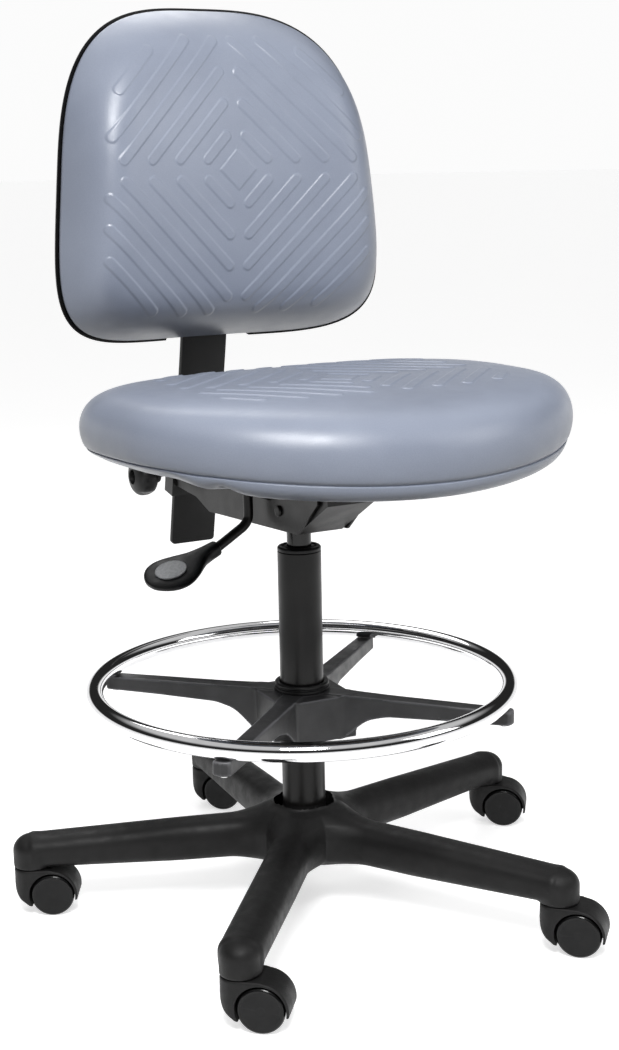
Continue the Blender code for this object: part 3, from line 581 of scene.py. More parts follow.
def bare_metal(name, tone, rough_low, rough_high, streak=(1, 1, 1), depth=0.00001):
    """Plated or turned metal with faint streaks and smudges in its gloss."""
    s = Shader(name, rough_low, metallic=1.0)
    stretched = s.stretched(streak)
    s.coloured(s.mixed(s.ramp(s.noise(60, 3, stretched)), times(0.94, tone), tone))
    s.rough(s.ramp(s.noise(24, 4), 0.4, 0.75, rough_low, rough_high))
    s.bumps((s.noise(900, 2, stretched), depth))


def casting():
    """Gunmetal enamel on a casting: soft grain, and edges that catch the light."""
    # the edge tone (0.16, 0.16, 0.17) is a painted highlight on the casting's edges
    Shader("cast hub enamel", 0.40, metallic=0.10, level=0.40).coated(
        (22, 4), ((0.024, 0.024, 0.025), (0.036, 0.036, 0.038)), (0.16, 0.16, 0.17), (0.505, 0.56),
        (50, 0.34, 0.48), (500, 3, 0.00007), (120, 2, 0.00012))


def stained_ply():
    """Black-stained plywood: long grain across the face, and thin layers that show on the edge."""
    s = Shader("stained plywood", 0.55)
    grain = s.noise(60, 5, s.stretched((0.15, 1.6, 1.0)))
    layers = s.add("ShaderNodeTexWave", wave_type="BANDS", bands_direction="Z")
    layers.inputs["Scale"].default_value = 180
    layers.inputs["Distortion"].default_value = 0.6
    s.link(s.place, layers.inputs["Vector"])
    face = s.mixed(s.ramp(grain, 0.35, 0.65), (0.022, 0.018, 0.015), (0.014, 0.012, 0.010))
    shade = s.ramp(layers.outputs["Fac"], 0.2, 0.8, 0.0, 0.35)
    s.coloured(s.mixed(shade, face, (0.030, 0.022, 0.016)))
    s.bumps((grain, 0.0002))


def label_disc():
    """Brushed pale film on the lever's disc, with fine turned rings."""
    s = Shader("lever disc film", 0.42, metallic=0.25)
    s.coloured(s.mixed(s.ramp(s.noise(350, 2)), (0.34, 0.35, 0.36), (0.44, 0.45, 0.46)))
    s.bumps((s.noise(1400, 2, s.stretched((1, 6, 1))), 0.00003))


def stage_floor():
    """Pale sweep that glows a little, so that it stays as pale far off as the world is at the horizon."""
    s = Shader("pale sweep", 0.85, level=0.1)
    s.coloured(s.mixed(s.noise(1.2, 2), (0.80, 0.80, 0.80), (0.82, 0.82, 0.82)))
    s.bsdf.inputs["Emission Color"].default_value = (1, 1, 1, 1)
    s.bsdf.inputs["Emission Strength"].default_value = 0.62


@operator
def finishes(scene):
    """Make the materials from the colours in the settings"""
    moulded_skin(scene.chair_cushion)
    moulded_nylon("nylon black", (0.0085, 0.0083, 0.0084), 0.52, 1500, 0.00012)
    moulded_nylon("wheel black", (0.0070, 0.0070, 0.0073), 0.50, 1100, 0.00005)
    moulded_nylon("tread black", (0.0040, 0.0040, 0.0042), 0.17, 600, 0.00001)
    moulded_nylon("satin black moulding", (0.0045, 0.0045, 0.0048), 0.42, 1300, 0.00006)
    moulded_nylon("shell black", (0.0040, 0.0040, 0.0042), 0.50, 900, 0.00014)
    paint("satin black paint", (0.0050, 0.0047, 0.0045), 0.34)
    paint("matt black paint", (0.0075, 0.0074, 0.0074), 0.50)
    paint("gloss black enamel", (0.0030, 0.0028, 0.0028), 0.16, coat=0.2)
    bare_metal("bright chrome", (0.88, 0.88, 0.89), 0.03, 0.09)
    bare_metal("zinc plate", (0.60, 0.60, 0.61), 0.22, 0.38, (1, 1, 8), 0.00003)
    casting()
    stained_ply()
    label_disc()
    stage_floor()


# ---- cushions ----
def unit_reach(x, w, low, high):
    """Superellipse reach (|x|^n + |w|^n)^(1/n), 1 on the outline, with its own power below and above."""
    n = np.where(w > 0, high, low)
    return np.maximum((np.abs(x) ** n + np.abs(w) ** n) ** (1 / n), 1e-9)


def smooth_step(value):
    value = np.clip(value, 0, 1)
    return value * value * (3 - 2 * value)


def bar_pattern(x, w, look, reaches):
    """Height, 0 to 1, of nested squares of bars turned by 45 degrees. A bar is the points within bar_radius
    of a stretch of |x| + |w| = c, from one middle line to the other or to where reaches(x, w) is false."""
    side = np.abs(x)
    height = smooth_step((look.diamond - side - np.abs(w)) / (1.41 * look.bar_edge) + 0.5)
    for half in (1, -1):
        up = half * w
        reach = look.bar_first
        while True:
            run = np.linspace(look.bar_gap, reach - look.bar_gap, 240)
            kept = run[reaches(run, half * (reach - run))]
            if len(kept) == 0 and reach > 3 * look.bar_first:
                break
            if len(kept) and kept[-1] - kept[0] > 0.004:
                start, stop = kept[0], kept[-1]
                along = np.clip((side - start + reach - start - up) / (2 * (stop - start)), 0, 1)
                near = start + along * (stop - start)
                distance = np.hypot(side - near, up - (reach - near))
                height = np.maximum(height, smooth_step((look.bar_radius - distance) / look.bar_edge + 0.5))
            reach += look.bar_pitch
    return height


def disc_grid(u_line, v_line, powers):
    """A square grid drawn onto a superellipse: each point's reach from 0 to 1 and where its ray meets the
    outline, (x, w), with the grid's faces and its rim in order."""
    u, v = np.meshgrid(u_line, v_line, indexing="ij")
    reach = np.maximum(np.abs(u), np.abs(v))
    safe = np.maximum(reach, 1e-9)
    size = unit_reach(u / safe, v / safe, *powers)
    number = np.arange(u.size).reshape(u.shape)
    faces = np.stack([number[:-1, :-1], number[1:, :-1], number[1:, 1:], number[:-1, 1:]], -1).reshape(-1, 4)
    rim = np.concatenate([number[:-1, 0], number[-1, :-1], number[:0:-1, -1], number[0, :0:-1]])
    return reach, u / safe / size, v / safe / size, faces, rim


def cushion_form(counts, fine, powers, inner, steps, lay):
    """Closed form of a moulded cushion. A grid, closest together where |u| and |v| are under fine, makes the
    face out to the scale inner; then rings, each a (scale, level) in steps, go round the edge and under. lay
    turns a scale, a level and a place on the unit outline into a point; the face's level is None."""
    lines = []
    for count, width in zip(counts, fine):
        outer = count // 9
        edge = np.linspace(width, 1, outer + 1)[1:]
        lines.append(np.concatenate([-edge[::-1], np.linspace(-width, width, count - 2 * outer), edge]))
    reach, x, w, quads, rim = disc_grid(*lines, powers)
    face = lay(inner * reach, None, x, w).reshape(-1, 3)
    rings = [lay(np.full(len(rim), scale), level, x.ravel()[rim], w.ravel()[rim]) for scale, level in steps]
    points = np.vstack([face, *rings, rings[-1].mean(0)[None]])
    faces = quads.tolist()
    near = rim
    for n in range(len(rings)):
        ring = len(face) + n * len(rim) + np.arange(len(rim))
        faces += np.stack([near, ring, np.roll(ring, -1), np.roll(near, -1)], -1).tolist()
        near = ring
    faces += [[len(points) - 1, int(b), int(a)] for a, b in zip(near, np.roll(near, -1))]
    return points, facing_out(points, faces)


def evenly(steps, count):
    """The same (scale, level) profile read at even distances along it."""
    steps = np.array(steps, float)
    gap = np.hypot(np.diff(steps[:, 0]) * 4.6, np.diff(steps[:, 1]))
    along = np.concatenate([[0], np.cumsum(gap)])
    where = np.linspace(0, along[-1], count)
    return np.column_stack([np.interp(where, along, steps[:, k]) for k in range(2)])


CROWN_POWER = 11.4


def seat_profile():
    """Edge profile from the face round to the underside: crown, widest edge, a tuck above the parting line, a
    narrow ledge that faces up, then the flange."""
    under_power = 15.0
    crown = [((1 - g * g) ** (1 / CROWN_POWER), g) for g in np.linspace(0.80, 0.0, 22)]
    under = [((1 - g * g) ** (1 / under_power), -g) for g in np.linspace(0.04, 0.42, 9)]
    tuck = [(0.9835, -0.455), (0.9785, -0.485), (0.9740, -0.510), (0.9722, -0.522)]
    ledge = [(0.9722, -0.529), (0.9738, -0.5335), (0.9762, -0.5375), (0.9776, -0.545), (0.9778, -0.556)]
    flange = [(0.9774, -0.575), (0.9750, -0.640), (0.9680, -0.730), (0.9560, -0.820), (0.9390, -0.900),
              (0.9170, -0.960), (0.8930, -0.992), (0.8680, -1.000), (0.8400, -0.985)]
    inward = [(0.80, -0.94), (0.775, -0.925)]
    return [*evenly(crown, 21)[1:], *evenly(under, 7), *tuck, *ledge, *evenly(flange, 16), *inward]


def seat_form(seat, look):
    """Seat: z = edge + rise * level, or sink * level below, less drop * front^2, with bars on its face. The
    bottom edge rises by side_lift beyond the cusps, and by cusp_height * exp(-away / cusp_width) at them."""
    taper, cusp_height, cusp_width, side_lift = 0.075, 0.0115, 0.0110, 0.0090
    cusp_x, cusp_y, under_from = 0.195, -0.097, -0.40
    front_reach, rear_reach, side_reach = 0.099, 0.148, 0.170

    def in_pattern(x, w):
        depth = np.where(w > 0, rear_reach, front_reach)
        return (np.abs(x) / side_reach) ** 5 + (np.abs(w) / depth) ** 5 < 1

    def lay(scale, level, x, w):
        across = scale * x * seat.half_width * (1 + taper * scale * w)
        along = scale * w * seat.half_depth
        front = np.minimum(scale * w, 0)
        if level is None:
            bars = bar_pattern(across, along + seat.middle_y - seat.pattern_y, look, in_pattern)
            lift = seat.rise * (1 - scale**CROWN_POWER) ** 0.5 + look.bar_relief * bars
        else:
            lift = (seat.rise if level > 0 else seat.sink) * level + 0 * scale
        if level is not None and level < under_from:
            away = np.hypot(np.abs(across) - cusp_x, along - cusp_y)
            beyond = smooth_step((np.abs(x) - 0.868) / 0.10 + smooth_step(w / 0.5))
            low = smooth_step((under_from - level) / 0.5)
            lift = lift + low * (side_lift * beyond + cusp_height * np.exp(-away / cusp_width))
        height = seat.edge_z + lift - seat.drop * front**2
        return np.stack([across, seat.middle_y + along, height], -1)

    front_and_rear_powers = (1.97, 3.3)
    return cushion_form((401, 321), (0.72, 0.70), front_and_rear_powers, 0.9143, seat_profile(), lay)


BACK_POWERS = (4.8, 3.03)
BACK_TAPER = 0.10


def back_form(back, look):
    """Back pad: the face is the saddle y = lumbar + (z - lumbar z)^2 - wrap x^2; towards the edge it goes a
    share of the way back to the rim's own sheet, growing as ((scale - start) / (1 - start))^power."""
    edge_start, edge_power, edge_share, pattern_reach = 0.62, 3.4, 0.9, 0.815

    def back_share(scale):
        return edge_share * (np.maximum(scale - edge_start, 0) / (1 - edge_start)) ** edge_power

    def in_pattern(x, w):
        up = (w + back.pattern_z - back.middle_z) / back.half_height
        across = x / (back.half_width * (1 - BACK_TAPER * up))
        return unit_reach(across, up, *BACK_POWERS) < pattern_reach

    def lay(scale, level, x, w):
        up = scale * w
        across = scale * x * back.half_width * (1 - BACK_TAPER * up)
        height = back.middle_z + up * back.half_height
        wide = (across / back.half_width) ** 2
        rim = back.rim_y - back.wrap * wide
        face = back.lumbar_y + (height - back.lumbar_z) ** 2 - back.front_wrap * wide
        if level is None:
            bars = bar_pattern(across, height - back.pattern_z, look, in_pattern)
            depth = face + (rim - face) * back_share(scale) - look.bar_relief * bars
        elif level > 0:
            depth = rim + (face - rim) * level
        else:
            depth = rim + level
        return np.stack([across, depth, height], -1)

    turn = [(scale, 1 - back_share(scale)) for scale in np.linspace(0.905, 1.0, 22)]
    lip = [(1.0, 0.075), (0.9985, 0.045), (0.9950, 0.020)]
    under = [(0.988, -0.0003), (0.94, -0.0010), (0.85, -0.0018), (0.70, -0.0028), (0.55, -0.0035)]
    return cushion_form((361, 351), (0.80, 0.80), BACK_POWERS, 0.90, [*evenly(turn, 18), *lip, *under], lay)


def cushion(node, shape):
    make(f"{node}_form", shape, "polyurethane skin", node, sharp_deg=60)


@operator
def seat_cushion(scene):
    """Make the moulded seat: crowned face with raised bars, waterfall front, parting groove and flange"""
    cushion("seat_cushion", seat_form(scene.chair_seat, scene.chair_cushion))


@operator
def back_cushion(scene):
    """Make the moulded back pad: a saddle with raised bars and a rolled edge"""
    cushion("back_cushion", back_form(scene.chair_back, scene.chair_cushion))


# ---- back shell, upright, arm and knob ----
def shell_form(back):
    """Rear shell: bulge * (1 - spread^11)^(1/2) behind the rim's sheet for its outside, the same a wall
    shallower and narrower for its inside, and a flat lip that joins the two."""
    wall, edge, inset, grid = 0.003, 1.017, 0.020, 97
    line = np.linspace(-1, 1, grid)
    reach, x, w, quads, rim = disc_grid(line, line, BACK_POWERS)
    spread = np.sin(reach * math.pi / 2) ** 0.9

    def skin(far, depth):
        up = far * spread * w
        across = far * spread * x * back.half_width * (1 - BACK_TAPER * up)
        sheet = back.rim_y + 0.0004 - back.wrap * (across / back.half_width) ** 2
        bulge = depth * np.maximum(1 - spread**11, 0) ** 0.5
        return np.stack([across, sheet + bulge, back.middle_z + up * back.half_height], -1).reshape(-1, 3)

    lip = np.stack([np.roll(rim, -1), rim, rim + grid * grid, np.roll(rim, -1) + grid * grid], -1)
    points = np.vstack([skin(edge, back.shell_bulge), skin(edge - inset, back.shell_bulge - wall)])
    faces = np.concatenate([quads, quads[:, ::-1] + grid * grid, lip]).tolist()
    return points, facing_out(points, faces)


@operator
def back_shell(scene):
    """Make the thin moulded shell behind the back pad, notched for the upright"""
    back = scene.chair_back
    made = make("back_shell_moulding", shell_form(back), "shell black", "back_shell")
    low, foot, top = back.middle_z - back.half_height, 0.064, 0.040
    notch = [(-foot, low - 0.02), (foot, low - 0.02), (top, low + 0.032), (-top, low + 0.032)]
    carved(made, lofted([[(x, y, z) for x, z in notch] for y in (0.19, 0.30)]))
    smoothed(made.data, 35)


UPRIGHT_FOOT = np.array([0.0, 0.2942, 0.374])
UPRIGHT_KNEE = np.array([0.0, 0.2362, 0.655])
UPRIGHT_TOP = 0.80


def upright_centreline(count):
    """Side view of the upright: a straight lean, a bend 30 mm each side of the knee, then straight up."""
    lean = (UPRIGHT_KNEE - UPRIGHT_FOOT) / np.linalg.norm(UPRIGHT_KNEE - UPRIGHT_FOOT)
    start = UPRIGHT_KNEE - lean * 0.030
    above = UPRIGHT_KNEE + np.array([0, -0.0015, 0.030])
    line = np.vstack([UPRIGHT_FOOT, bent(start, UPRIGHT_KNEE, above, 16), (0, above[1], UPRIGHT_TOP)])
    gap = np.linalg.norm(np.diff(line, axis=0), axis=1)
    along = np.concatenate([[0], np.cumsum(gap)])
    ends = 0.004 * (1 - np.cos(np.linspace(0, math.pi / 2, 9)))
    where = np.concatenate([ends, np.linspace(0.006, along[-1] - 0.006, count), along[-1] - ends[::-1]])
    return np.column_stack([np.interp(where, along, line[:, k]) for k in range(3)]), where, along[-1]


def upright_form():
    """A flat bar with eased edges carried along the centreline; its ends narrow in quarter circles."""
    centre, where, total = upright_centreline(60)
    half_width, half_thick, corner = 0.030, 0.004, 0.004
    quarters = ((-1, -1), (1, -1), (1, 1), (-1, 1))
    section = eased([(half_width * side, half_thick * out) for side, out in quarters], 0.0016)
    ahead = np.gradient(centre, axis=0)
    ahead /= np.linalg.norm(ahead, axis=1)[:, None]
    rings = []
    for point, forward, place in zip(centre, ahead, where):
        from_end = min(place, total - place)
        narrow = corner * (1 - math.sqrt(max(0, 1 - (1 - min(1, from_end / corner)) ** 2)))
        side = section[:, :1] * (1 - narrow / half_width)
        out = np.array([0, forward[2], -forward[1]])
        rings.append(point + side * np.array([1, 0, 0]) + section[:, 1:] * out)
    return lofted(rings)


def knob_form():
    """Hand knob turned about its stud: r = radius * (1 - |t|^n)^(1/n) from its neck to its hollow face, less
    seven shallow flutes, flute * (1/2 + 1/2 cos 7a)^(3/2)."""
    power = 2.7
    flute, length = 0.0016, 0.0310
    radius = high_of("clamp_knob", 2) - joint_place("clamp_knob_turn")[2]

    def fluted(r, z, angle):
        share = smooth_step((z - 0.010) / 0.006) * smooth_step((0.033 - z) / 0.006) * (r > radius * 0.7)
        return r - flute * share * (0.5 + 0.5 * np.cos(7 * angle)) ** 1.5

    t = np.linspace(-0.985, 0.94, 30)
    grip = np.column_stack([radius * (1 - np.abs(t) ** power) ** (1 / power), 0.0054 + length * (1 + t) / 2])
    neck = [(0.004, -0.0212), (0.004, 0.0000), (0.0100, 0.0003), (0.0108, 0.0020), (0.0108, 0.0050)]
    face = [(0.0098, 0.0360), (0.0088, 0.0352), (0.0082, 0.0300), (0.0040, 0.0296)]
    keep = grip[(grip[:, 0] > 0.0125)]
    return turned([*neck, *keep, *face], 112, loop=False, radius_of=fluted)


@operator
def back_frame(scene):
    """Make the upright, its arm and sleeve, and the clamp knob"""
    make("back_upright_bar", upright_form(), "matt black paint", "back_upright")
    softened("back_arm", "satin black paint", 0.0005)
    stud, length = joint_place("clamp_knob_turn"), 0.0364
    knob = placed(knob_form(), (low_of("clamp_knob", 0) + length, stud[1], stud[2]), (-1, 0, 0))
    make("clamp_knob_moulding", knob, "satin black moulding", "clamp_knob")
    repaint("zinc plate", "back_screw_1", "back_screw_2")


# ---- seat control and lever ----
def hexagon(r, angle, chosen):
    """Where chosen, a hexagon's radius: r / cos of the angle from the nearest flat."""
    flat = (angle + math.pi / 6) % (math.pi / 3) - math.pi / 6
    return np.where(chosen, r / np.cos(flat), r + 0 * angle)


def bolt_form(head_low, seat_z, tip):
    """Hexagon-head bolt, head down, with a shallow dish under the head and a round washer face above it."""
    profile = [
        (0.0020, head_low + 0.0006), (0.0044, head_low), (0.0050, head_low), (0.0050, seat_z - 0.0006),
        (0.0044, seat_z - 0.0003), (0.0030, seat_z), (0.0030, tip),
    ]

    def flats(r, z, angle):
        return hexagon(r, angle, r > 0.0045)

    return turned(profile, 72, loop=False, ease=0.0004, radius_of=flats)


def pin_head_form(inner, outer):
    """Headed pin with a domed, slightly chamfered head."""
    head = outer - 0.003
    profile = [
        (0.004, inner), (0.004, head), (0.0063, head), (0.0065, head + 0.0006), (0.0058, outer - 0.0004),
        (0.0030, outer),
    ]
    return turned(profile, 64, loop=False, ease=0.0005)


@operator
def seat_control(scene):
    """Finish the folded control housing, its pins, the seat plate, the plywood pan and the bolts"""
    softened("chassis", "satin black paint", 0.0012)
    softened("seat_plate", "matt black paint", 0.0004)
    softened("seat_pan", "stained plywood", 0.0006)
    for node, side in (("pivot_pin_right", -1), ("pivot_pin_left", 1)):
        pin = pin_head_form(0.0235, max(abs(low_of(node, 0)), abs(high_of(node, 0))))
        at = (0.0, *place_of(node)[1:])
        make(f"{node}_turned", placed(pin, at, (side, 0, 0)), "satin black paint", node)
    for n in range(1, 5):
        node = f"seat_bolt_{n}"
        low = low_of(node, 2)
        bolt = bolt_form(low, low + 0.004, high_of(node, 2))
        make(f"{node}_turned", placed(bolt, place_of(node) * (1, 1, 0), spin=0.4 * n), "zinc plate", node)
    repaint("zinc plate", "release_pin")


LEVER_PATH = [
    (0.0060, -0.0040, 0.4957), (-0.0140, 0.0105, 0.4957), (-0.0360, 0.0260, 0.4957),
    (-0.0425, 0.0300, 0.4935), (-0.0465, 0.0315, 0.4890), (-0.0478, 0.0315, 0.4820),
    (-0.0482, 0.0305, 0.4600), (-0.0502, 0.0298, 0.4520), (-0.0555, 0.0292, 0.4462),
    (-0.0620, 0.0288, 0.4421), (-0.0905, 0.0265, 0.4262), (-0.0998, 0.0252, 0.4230),
]
PADDLE_NECK = np.array(LEVER_PATH[-2])
PADDLE_CENTRE = np.array([-0.1490, 0.0185, 0.4062])
PADDLE_TILT = math.tan(math.radians(14))


def paddle_axes():
    """Unit vectors along the paddle, across it, and up from its face."""
    along = PADDLE_CENTRE - PADDLE_NECK
    along /= np.linalg.norm(along)
    across = np.array([0, -1, -PADDLE_TILT])
    across = across - along * (across @ along)
    across /= np.linalg.norm(across)
    up = np.cross(across, along)
    return along, across, up * np.sign(up[2])


def paddle_form():
    """Paddle lofted from the neck out: sections |a / half|^n + |b / thick|^n = 1, with a faint crease."""
    power = 2.6
    along, across, up = paddle_axes()
    places = [0.0, 0.003, 0.016, 0.030, 0.044, 0.056, 0.066, 0.076, 0.084, 0.090, 0.0935, 0.0948]
    halves = [0.0078, 0.0090, 0.0114, 0.0178, 0.0268, 0.0326, 0.0345, 0.0322, 0.0262, 0.0180, 0.0105, 0.0050]
    thicks = [0.0074, 0.0082, 0.0078, 0.0062, 0.0047, 0.0046, 0.0046, 0.0045, 0.0043, 0.0038, 0.0030, 0.0018]
    fine = smooth_path(np.column_stack([places, halves, thicks]), 90)
    angle = np.linspace(0, math.tau, 72, endpoint=False)
    c, s = np.cos(angle), np.sin(angle)
    size = unit_reach(c, s, power, power)
    rings = []
    for place, half, thick in fine:
        a, b = half * c / size, thick * s / size
        crease = 0.0010 * np.exp(-(((place - 0.020) / 0.012) ** 2)) * (np.abs(c) > 0.75)
        section = np.outer(a * (1 - crease / half), across) + np.outer(b, up)
        rings.append(PADDLE_NECK + along * place + section)
    return lofted(rings)


@operator
def height_lever(scene):
    """Make the bent lever rod, its paddle and the plain disc"""
    rod = swept(smooth_path(LEVER_PATH, 110), round_section(0.0056, 32))
    make("lever_rod_bent", rod, "satin black paint", "height_lever_rod")
    make("lever_paddle_moulding", paddle_form(), "satin black moulding", "height_lever_paddle")
    along, _, up = paddle_axes()
    centre = PADDLE_CENTRE + along * 0.002 + up * 0.0047
    profile = [
        (0.0020, 0.0), (0.0180, 0.0), (0.0182, 0.0007), (0.0174, 0.0014), (0.0166, 0.0012), (0.0020, 0.0012),
    ]
    disc = placed(turned(profile, 96, loop=False, ease=0.0003), centre, up)
    make("lever_disc_plain", disc, "lever disc film", "lever_disc")


# ---- column and foot ring ----
def bushing_form(top, flange):
    """Flanged bushing with a stepped top, plus two short raised keys, arcs of 70 degrees, on the flange."""
    bore = 0.0143
    profile = [
        (bore, 0.345), (0.0223, 0.345), (0.0223, flange), (0.0249, flange), (0.0250, flange + 0.0010),
        (0.0250, top - 0.0017), (0.0236, top), (0.0205, top), (0.0200, top - 0.0010), (0.0165, top - 0.0010),
        (0.0160, top), (bore, top),
    ]
    shapes = [turned(profile, 112, ease=0.0005)]
    for start in (35, 215):
        angle = np.radians(np.linspace(start, start + 70, 22))
        path = np.column_stack([0.0183 * np.cos(angle), 0.0183 * np.sin(angle), np.full(22, top - 0.0003)])
        shapes.append(swept(path, round_section(0.0011, 12)))
    return together(*shapes)


@operator
def gas_column(scene):
    """Make the outer tube, guide bushing and gas cylinder, and finish the parts inside"""
    low, high = low_of("column_tube", 2), high_of("column_tube", 2)
    radius, bore = high_of("column_tube", 0), 0.0056
    inside = radius - 0.0024
    tube = [
        (bore, low), (radius - 0.0015, low), (radius, low + 0.0015), (radius, high - 0.0008),
        (radius - 0.0006, high), (inside, high), (inside, low + 0.0035), (bore, low + 0.0035),
    ]
    make("column_outer_tube", turned(tube, 144, ease=0.0004), "satin black paint", "column_tube")
    bushing = bushing_form(high_of("guide_bushing", 2), high + 0.0003)
    make("guide_bushing_moulding", bushing, "satin black moulding", "guide_bushing")
    foot, top = low_of("gas_cylinder", 2), high_of("gas_cylinder", 2)
    cylinder = [
        (0.0053, foot), (0.0120, foot), (0.0140, foot + 0.0020), (0.0140, 0.4450), (0.0133, top - 0.0006),
        (0.0128, top), (0.0045, top), (0.0045, 0.468), (0.0042, 0.4679), (0.0042, 0.460), (0.0115, 0.460),
        (0.0115, foot + 0.010), (0.0053, foot + 0.010),
    ]
    make("gas_cylinder_turned", turned(cylinder, 112, ease=0.0004), "gloss black enamel", "gas_cylinder")
    repaint("zinc plate", "piston_rod", "retaining_clip", "thrust_bearing")


SPOKE_FIRST_DEG = 41.8
SPOKE_PLACES = (0.0, 0.048, 0.058, 0.068, 0.082, 0.105, 0.180, 0.251)
SPOKE_HALVES = (0.0128, 0.0122, 0.0118, 0.0114, 0.0110, 0.0105, 0.0100, 0.0098)
SPOKE_LOWS = (0.200, 0.200, 0.2035, 0.2135, 0.2245, 0.2305, 0.2325, 0.2332)
SPOKE_TOPS = (0.2530, 0.2530, 0.2527, 0.2523, 0.2520, 0.2512, 0.2500, 0.2488)
SPOKE_END = 0.2502
RING_BORE = 0.0256


def hub_field(x, y, z):
    """Cast hub, worked out on one of its four alike quarters, the first spoke along X: a spoke whose width,
    arch and top follow its length, a round boss, and a block whose flat sides face between the spokes."""
    radius, along, side = folded(x, y, 4)
    tables = (SPOKE_TOPS, SPOKE_HALVES, SPOKE_LOWS)
    top, half, low = (steps_between(along, SPOKE_PLACES, sizes) for sizes in tables)
    upper = both(side - half - 0.03 * (top - z), z - top, 0.0022)
    spoke = both(upper, both(low - z, along - SPOKE_END, 0.002), 0.0016)
    spoke = both(spoke, along + 0.45 * side - SPOKE_END - 0.0015, 0.003)
    block = both(both((along + side) * math.sqrt(0.5) - 0.0467, z - 0.2514, 0.0020), 0.2008 - z, 0.0022)
    boss = both(both(radius - 0.0310, z - 0.2534, 0.002), low_of("foot_ring_hub", 2) - z, 0.002)
    return both(either(either(spoke, block, 0.0030), boss, 0.0020), RING_BORE - radius, 0.0010)


def collar_form(low, high):
    """Grooved locking collar: a rounded rim below, a waist, and a rolled bead on top."""
    bore = RING_BORE
    profile = [
        (bore, low), (0.0318, low), (0.0322, low + 0.0008), (0.0322, low + 0.0034), (0.0304, low + 0.0042),
        (0.0304, low + 0.0052), (0.0315, low + 0.0060), (0.0315, high - 0.0016), (0.0302, high),
        (0.0268, high), (bore, high - 0.0012),
    ]
    return turned(profile, 128, ease=0.0004)


def ring_screw_form(head, tip):
    """Pan-head screw, head down, with a hexagon socket in the head."""
    low = head - 0.003

    def socketed(r, z, angle):
        return hexagon(r, angle, (r < 0.0021) & (z < head))

    profile = [
        (0.0015, low + 0.0016), (0.0018, low + 0.0016), (0.0018, low + 0.0001), (0.0030, low),
        (0.0044, low + 0.0008),
        (0.0048, head - 0.0004), (0.0046, head), (0.0024, head), (0.0024, tip),
    ]
    return turned(profile, 60, loop=False, radius_of=socketed)


@operator
def foot_ring(scene):
    """Make the chrome ring, the cast hub with its spokes, the screws and the locking collar"""
    ring = scene.chair_ring
    around = np.linspace(0, math.tau, ring.segments, endpoint=False)[:, None]
    across = np.linspace(0, math.tau, 40, endpoint=False)[None, :]
    reach = ring.radius + ring.tube * np.cos(across)
    height = ring.height + ring.tube * np.sin(across) + 0 * around
    torus = np.stack([reach * np.cos(around), reach * np.sin(around), height], -1)
    make("foot_ring_tube", lofted(torus, loop=True), "bright chrome", "foot_ring")
    span = SPOKE_END + 0.002
    hub = blended(hub_field, (-span, -span, low_of("foot_ring_hub", 2)), (span, span, 0.2545), 0.00135)
    hub = placed(hub, spin=math.radians(SPOKE_FIRST_DEG))
    make("foot_ring_casting", hub, "cast hub enamel", "foot_ring_hub", sharp_deg=75)
    for n in range(1, 5):
        node = f"ring_screw_{n}"
        screw = ring_screw_form(low_of(node, 2) + 0.003, high_of(node, 2))
        make(f"{node}_turned", placed(screw, place_of(node) * (1, 1, 0), spin=n), "zinc plate", node)
    collar = collar_form(low_of("lock_collar", 2), high_of("lock_collar", 2))
    make("lock_collar_moulding", collar, "satin black moulding", "lock_collar")


# ---- base and castors ----
LEG_FIRST_DEG = 13.68
STEM_CIRCLE = 0.3191
LEG_PLACES = (0.031, 0.070, 0.150, 0.3154)
LEG_MIDDLES = (0.0800, 0.0795, 0.0775, 0.0748)
LEG_HALF_HEIGHTS = (0.0243, 0.0243, 0.0235, 0.0179)
HUB_HEIGHTS = (0.0575, 0.0880, 0.1020, 0.1115, 0.1155)
HUB_RADII = (0.0540, 0.0540, 0.0500, 0.0390, 0.0310)


def base_field(base):
    """Field of the five-legged base, worked out on one of its five alike sectors: a leg whose section is a
    superellipse, a domed socket at its end, and a hub, joined with fillets, less the bore, stem hole and the
    channel under the leg."""

    def field(x, y, z):
        radius, along, side = folded(x, y, 5, LEG_FIRST_DEG)
        half_height = steps_between(along, LEG_PLACES, LEG_HALF_HEIGHTS)
        up = z - steps_between(along, LEG_PLACES, LEG_MIDDLES)
        power = np.where(up > 0, 2.5, 3.2)
        round_part = (side / base.leg_half_width) ** power + (np.abs(up) / half_height) ** power
        leg = (round_part ** (1 / power) - 1) * 0.0215
        leg = both(leg, along - STEM_CIRCLE, 0.004)
        off = np.hypot(along - STEM_CIRCLE, side)
        above = np.maximum(z - 0.0748, 0)
        dome = (np.hypot(off / base.socket_radius, above / 0.0186) - 1) * 0.0200
        socket = both(dome, low_of("base_star", 2) + 0.0010 - z, 0.0015)
        wide = np.interp(z, HUB_HEIGHTS, HUB_RADII)
        under = HUB_HEIGHTS[0] + 0.6 * np.maximum(radius - 0.044, 0)
        hub = both(both((radius - wide) * 0.75, z - HUB_HEIGHTS[-1], 0.003), (under - z) * 0.85, 0.004)
        solid = either(either(leg, hub, base.hub_fillet), socket, 0.005)
        wall = side - 0.0125 + 0.051 * (z - 0.045)
        channel = both(both(wall, z - 0.084, 0.003), np.abs(along - 0.178) - 0.106, 0.004)
        hole = np.maximum(off - 0.0058, z - 0.0885)
        return both(both(both(solid, -channel, 0.0015), 0.0253 - radius, 0.0012), -hole, 0.0006)

    return field


@operator
def base(scene):
    """Make the five-legged base with its fillets and channels"""
    look = scene.chair_base
    span = STEM_CIRCLE + look.socket_radius
    skin = blended(base_field(look), (-span, -span, 0.054), (span, span, HUB_HEIGHTS[-1]), look.grain)
    make("base_moulding", skin, "nylon black", "base_star", sharp_deg=70)


TRAIL = 0.0237
WHEEL_RADIUS = 0.025


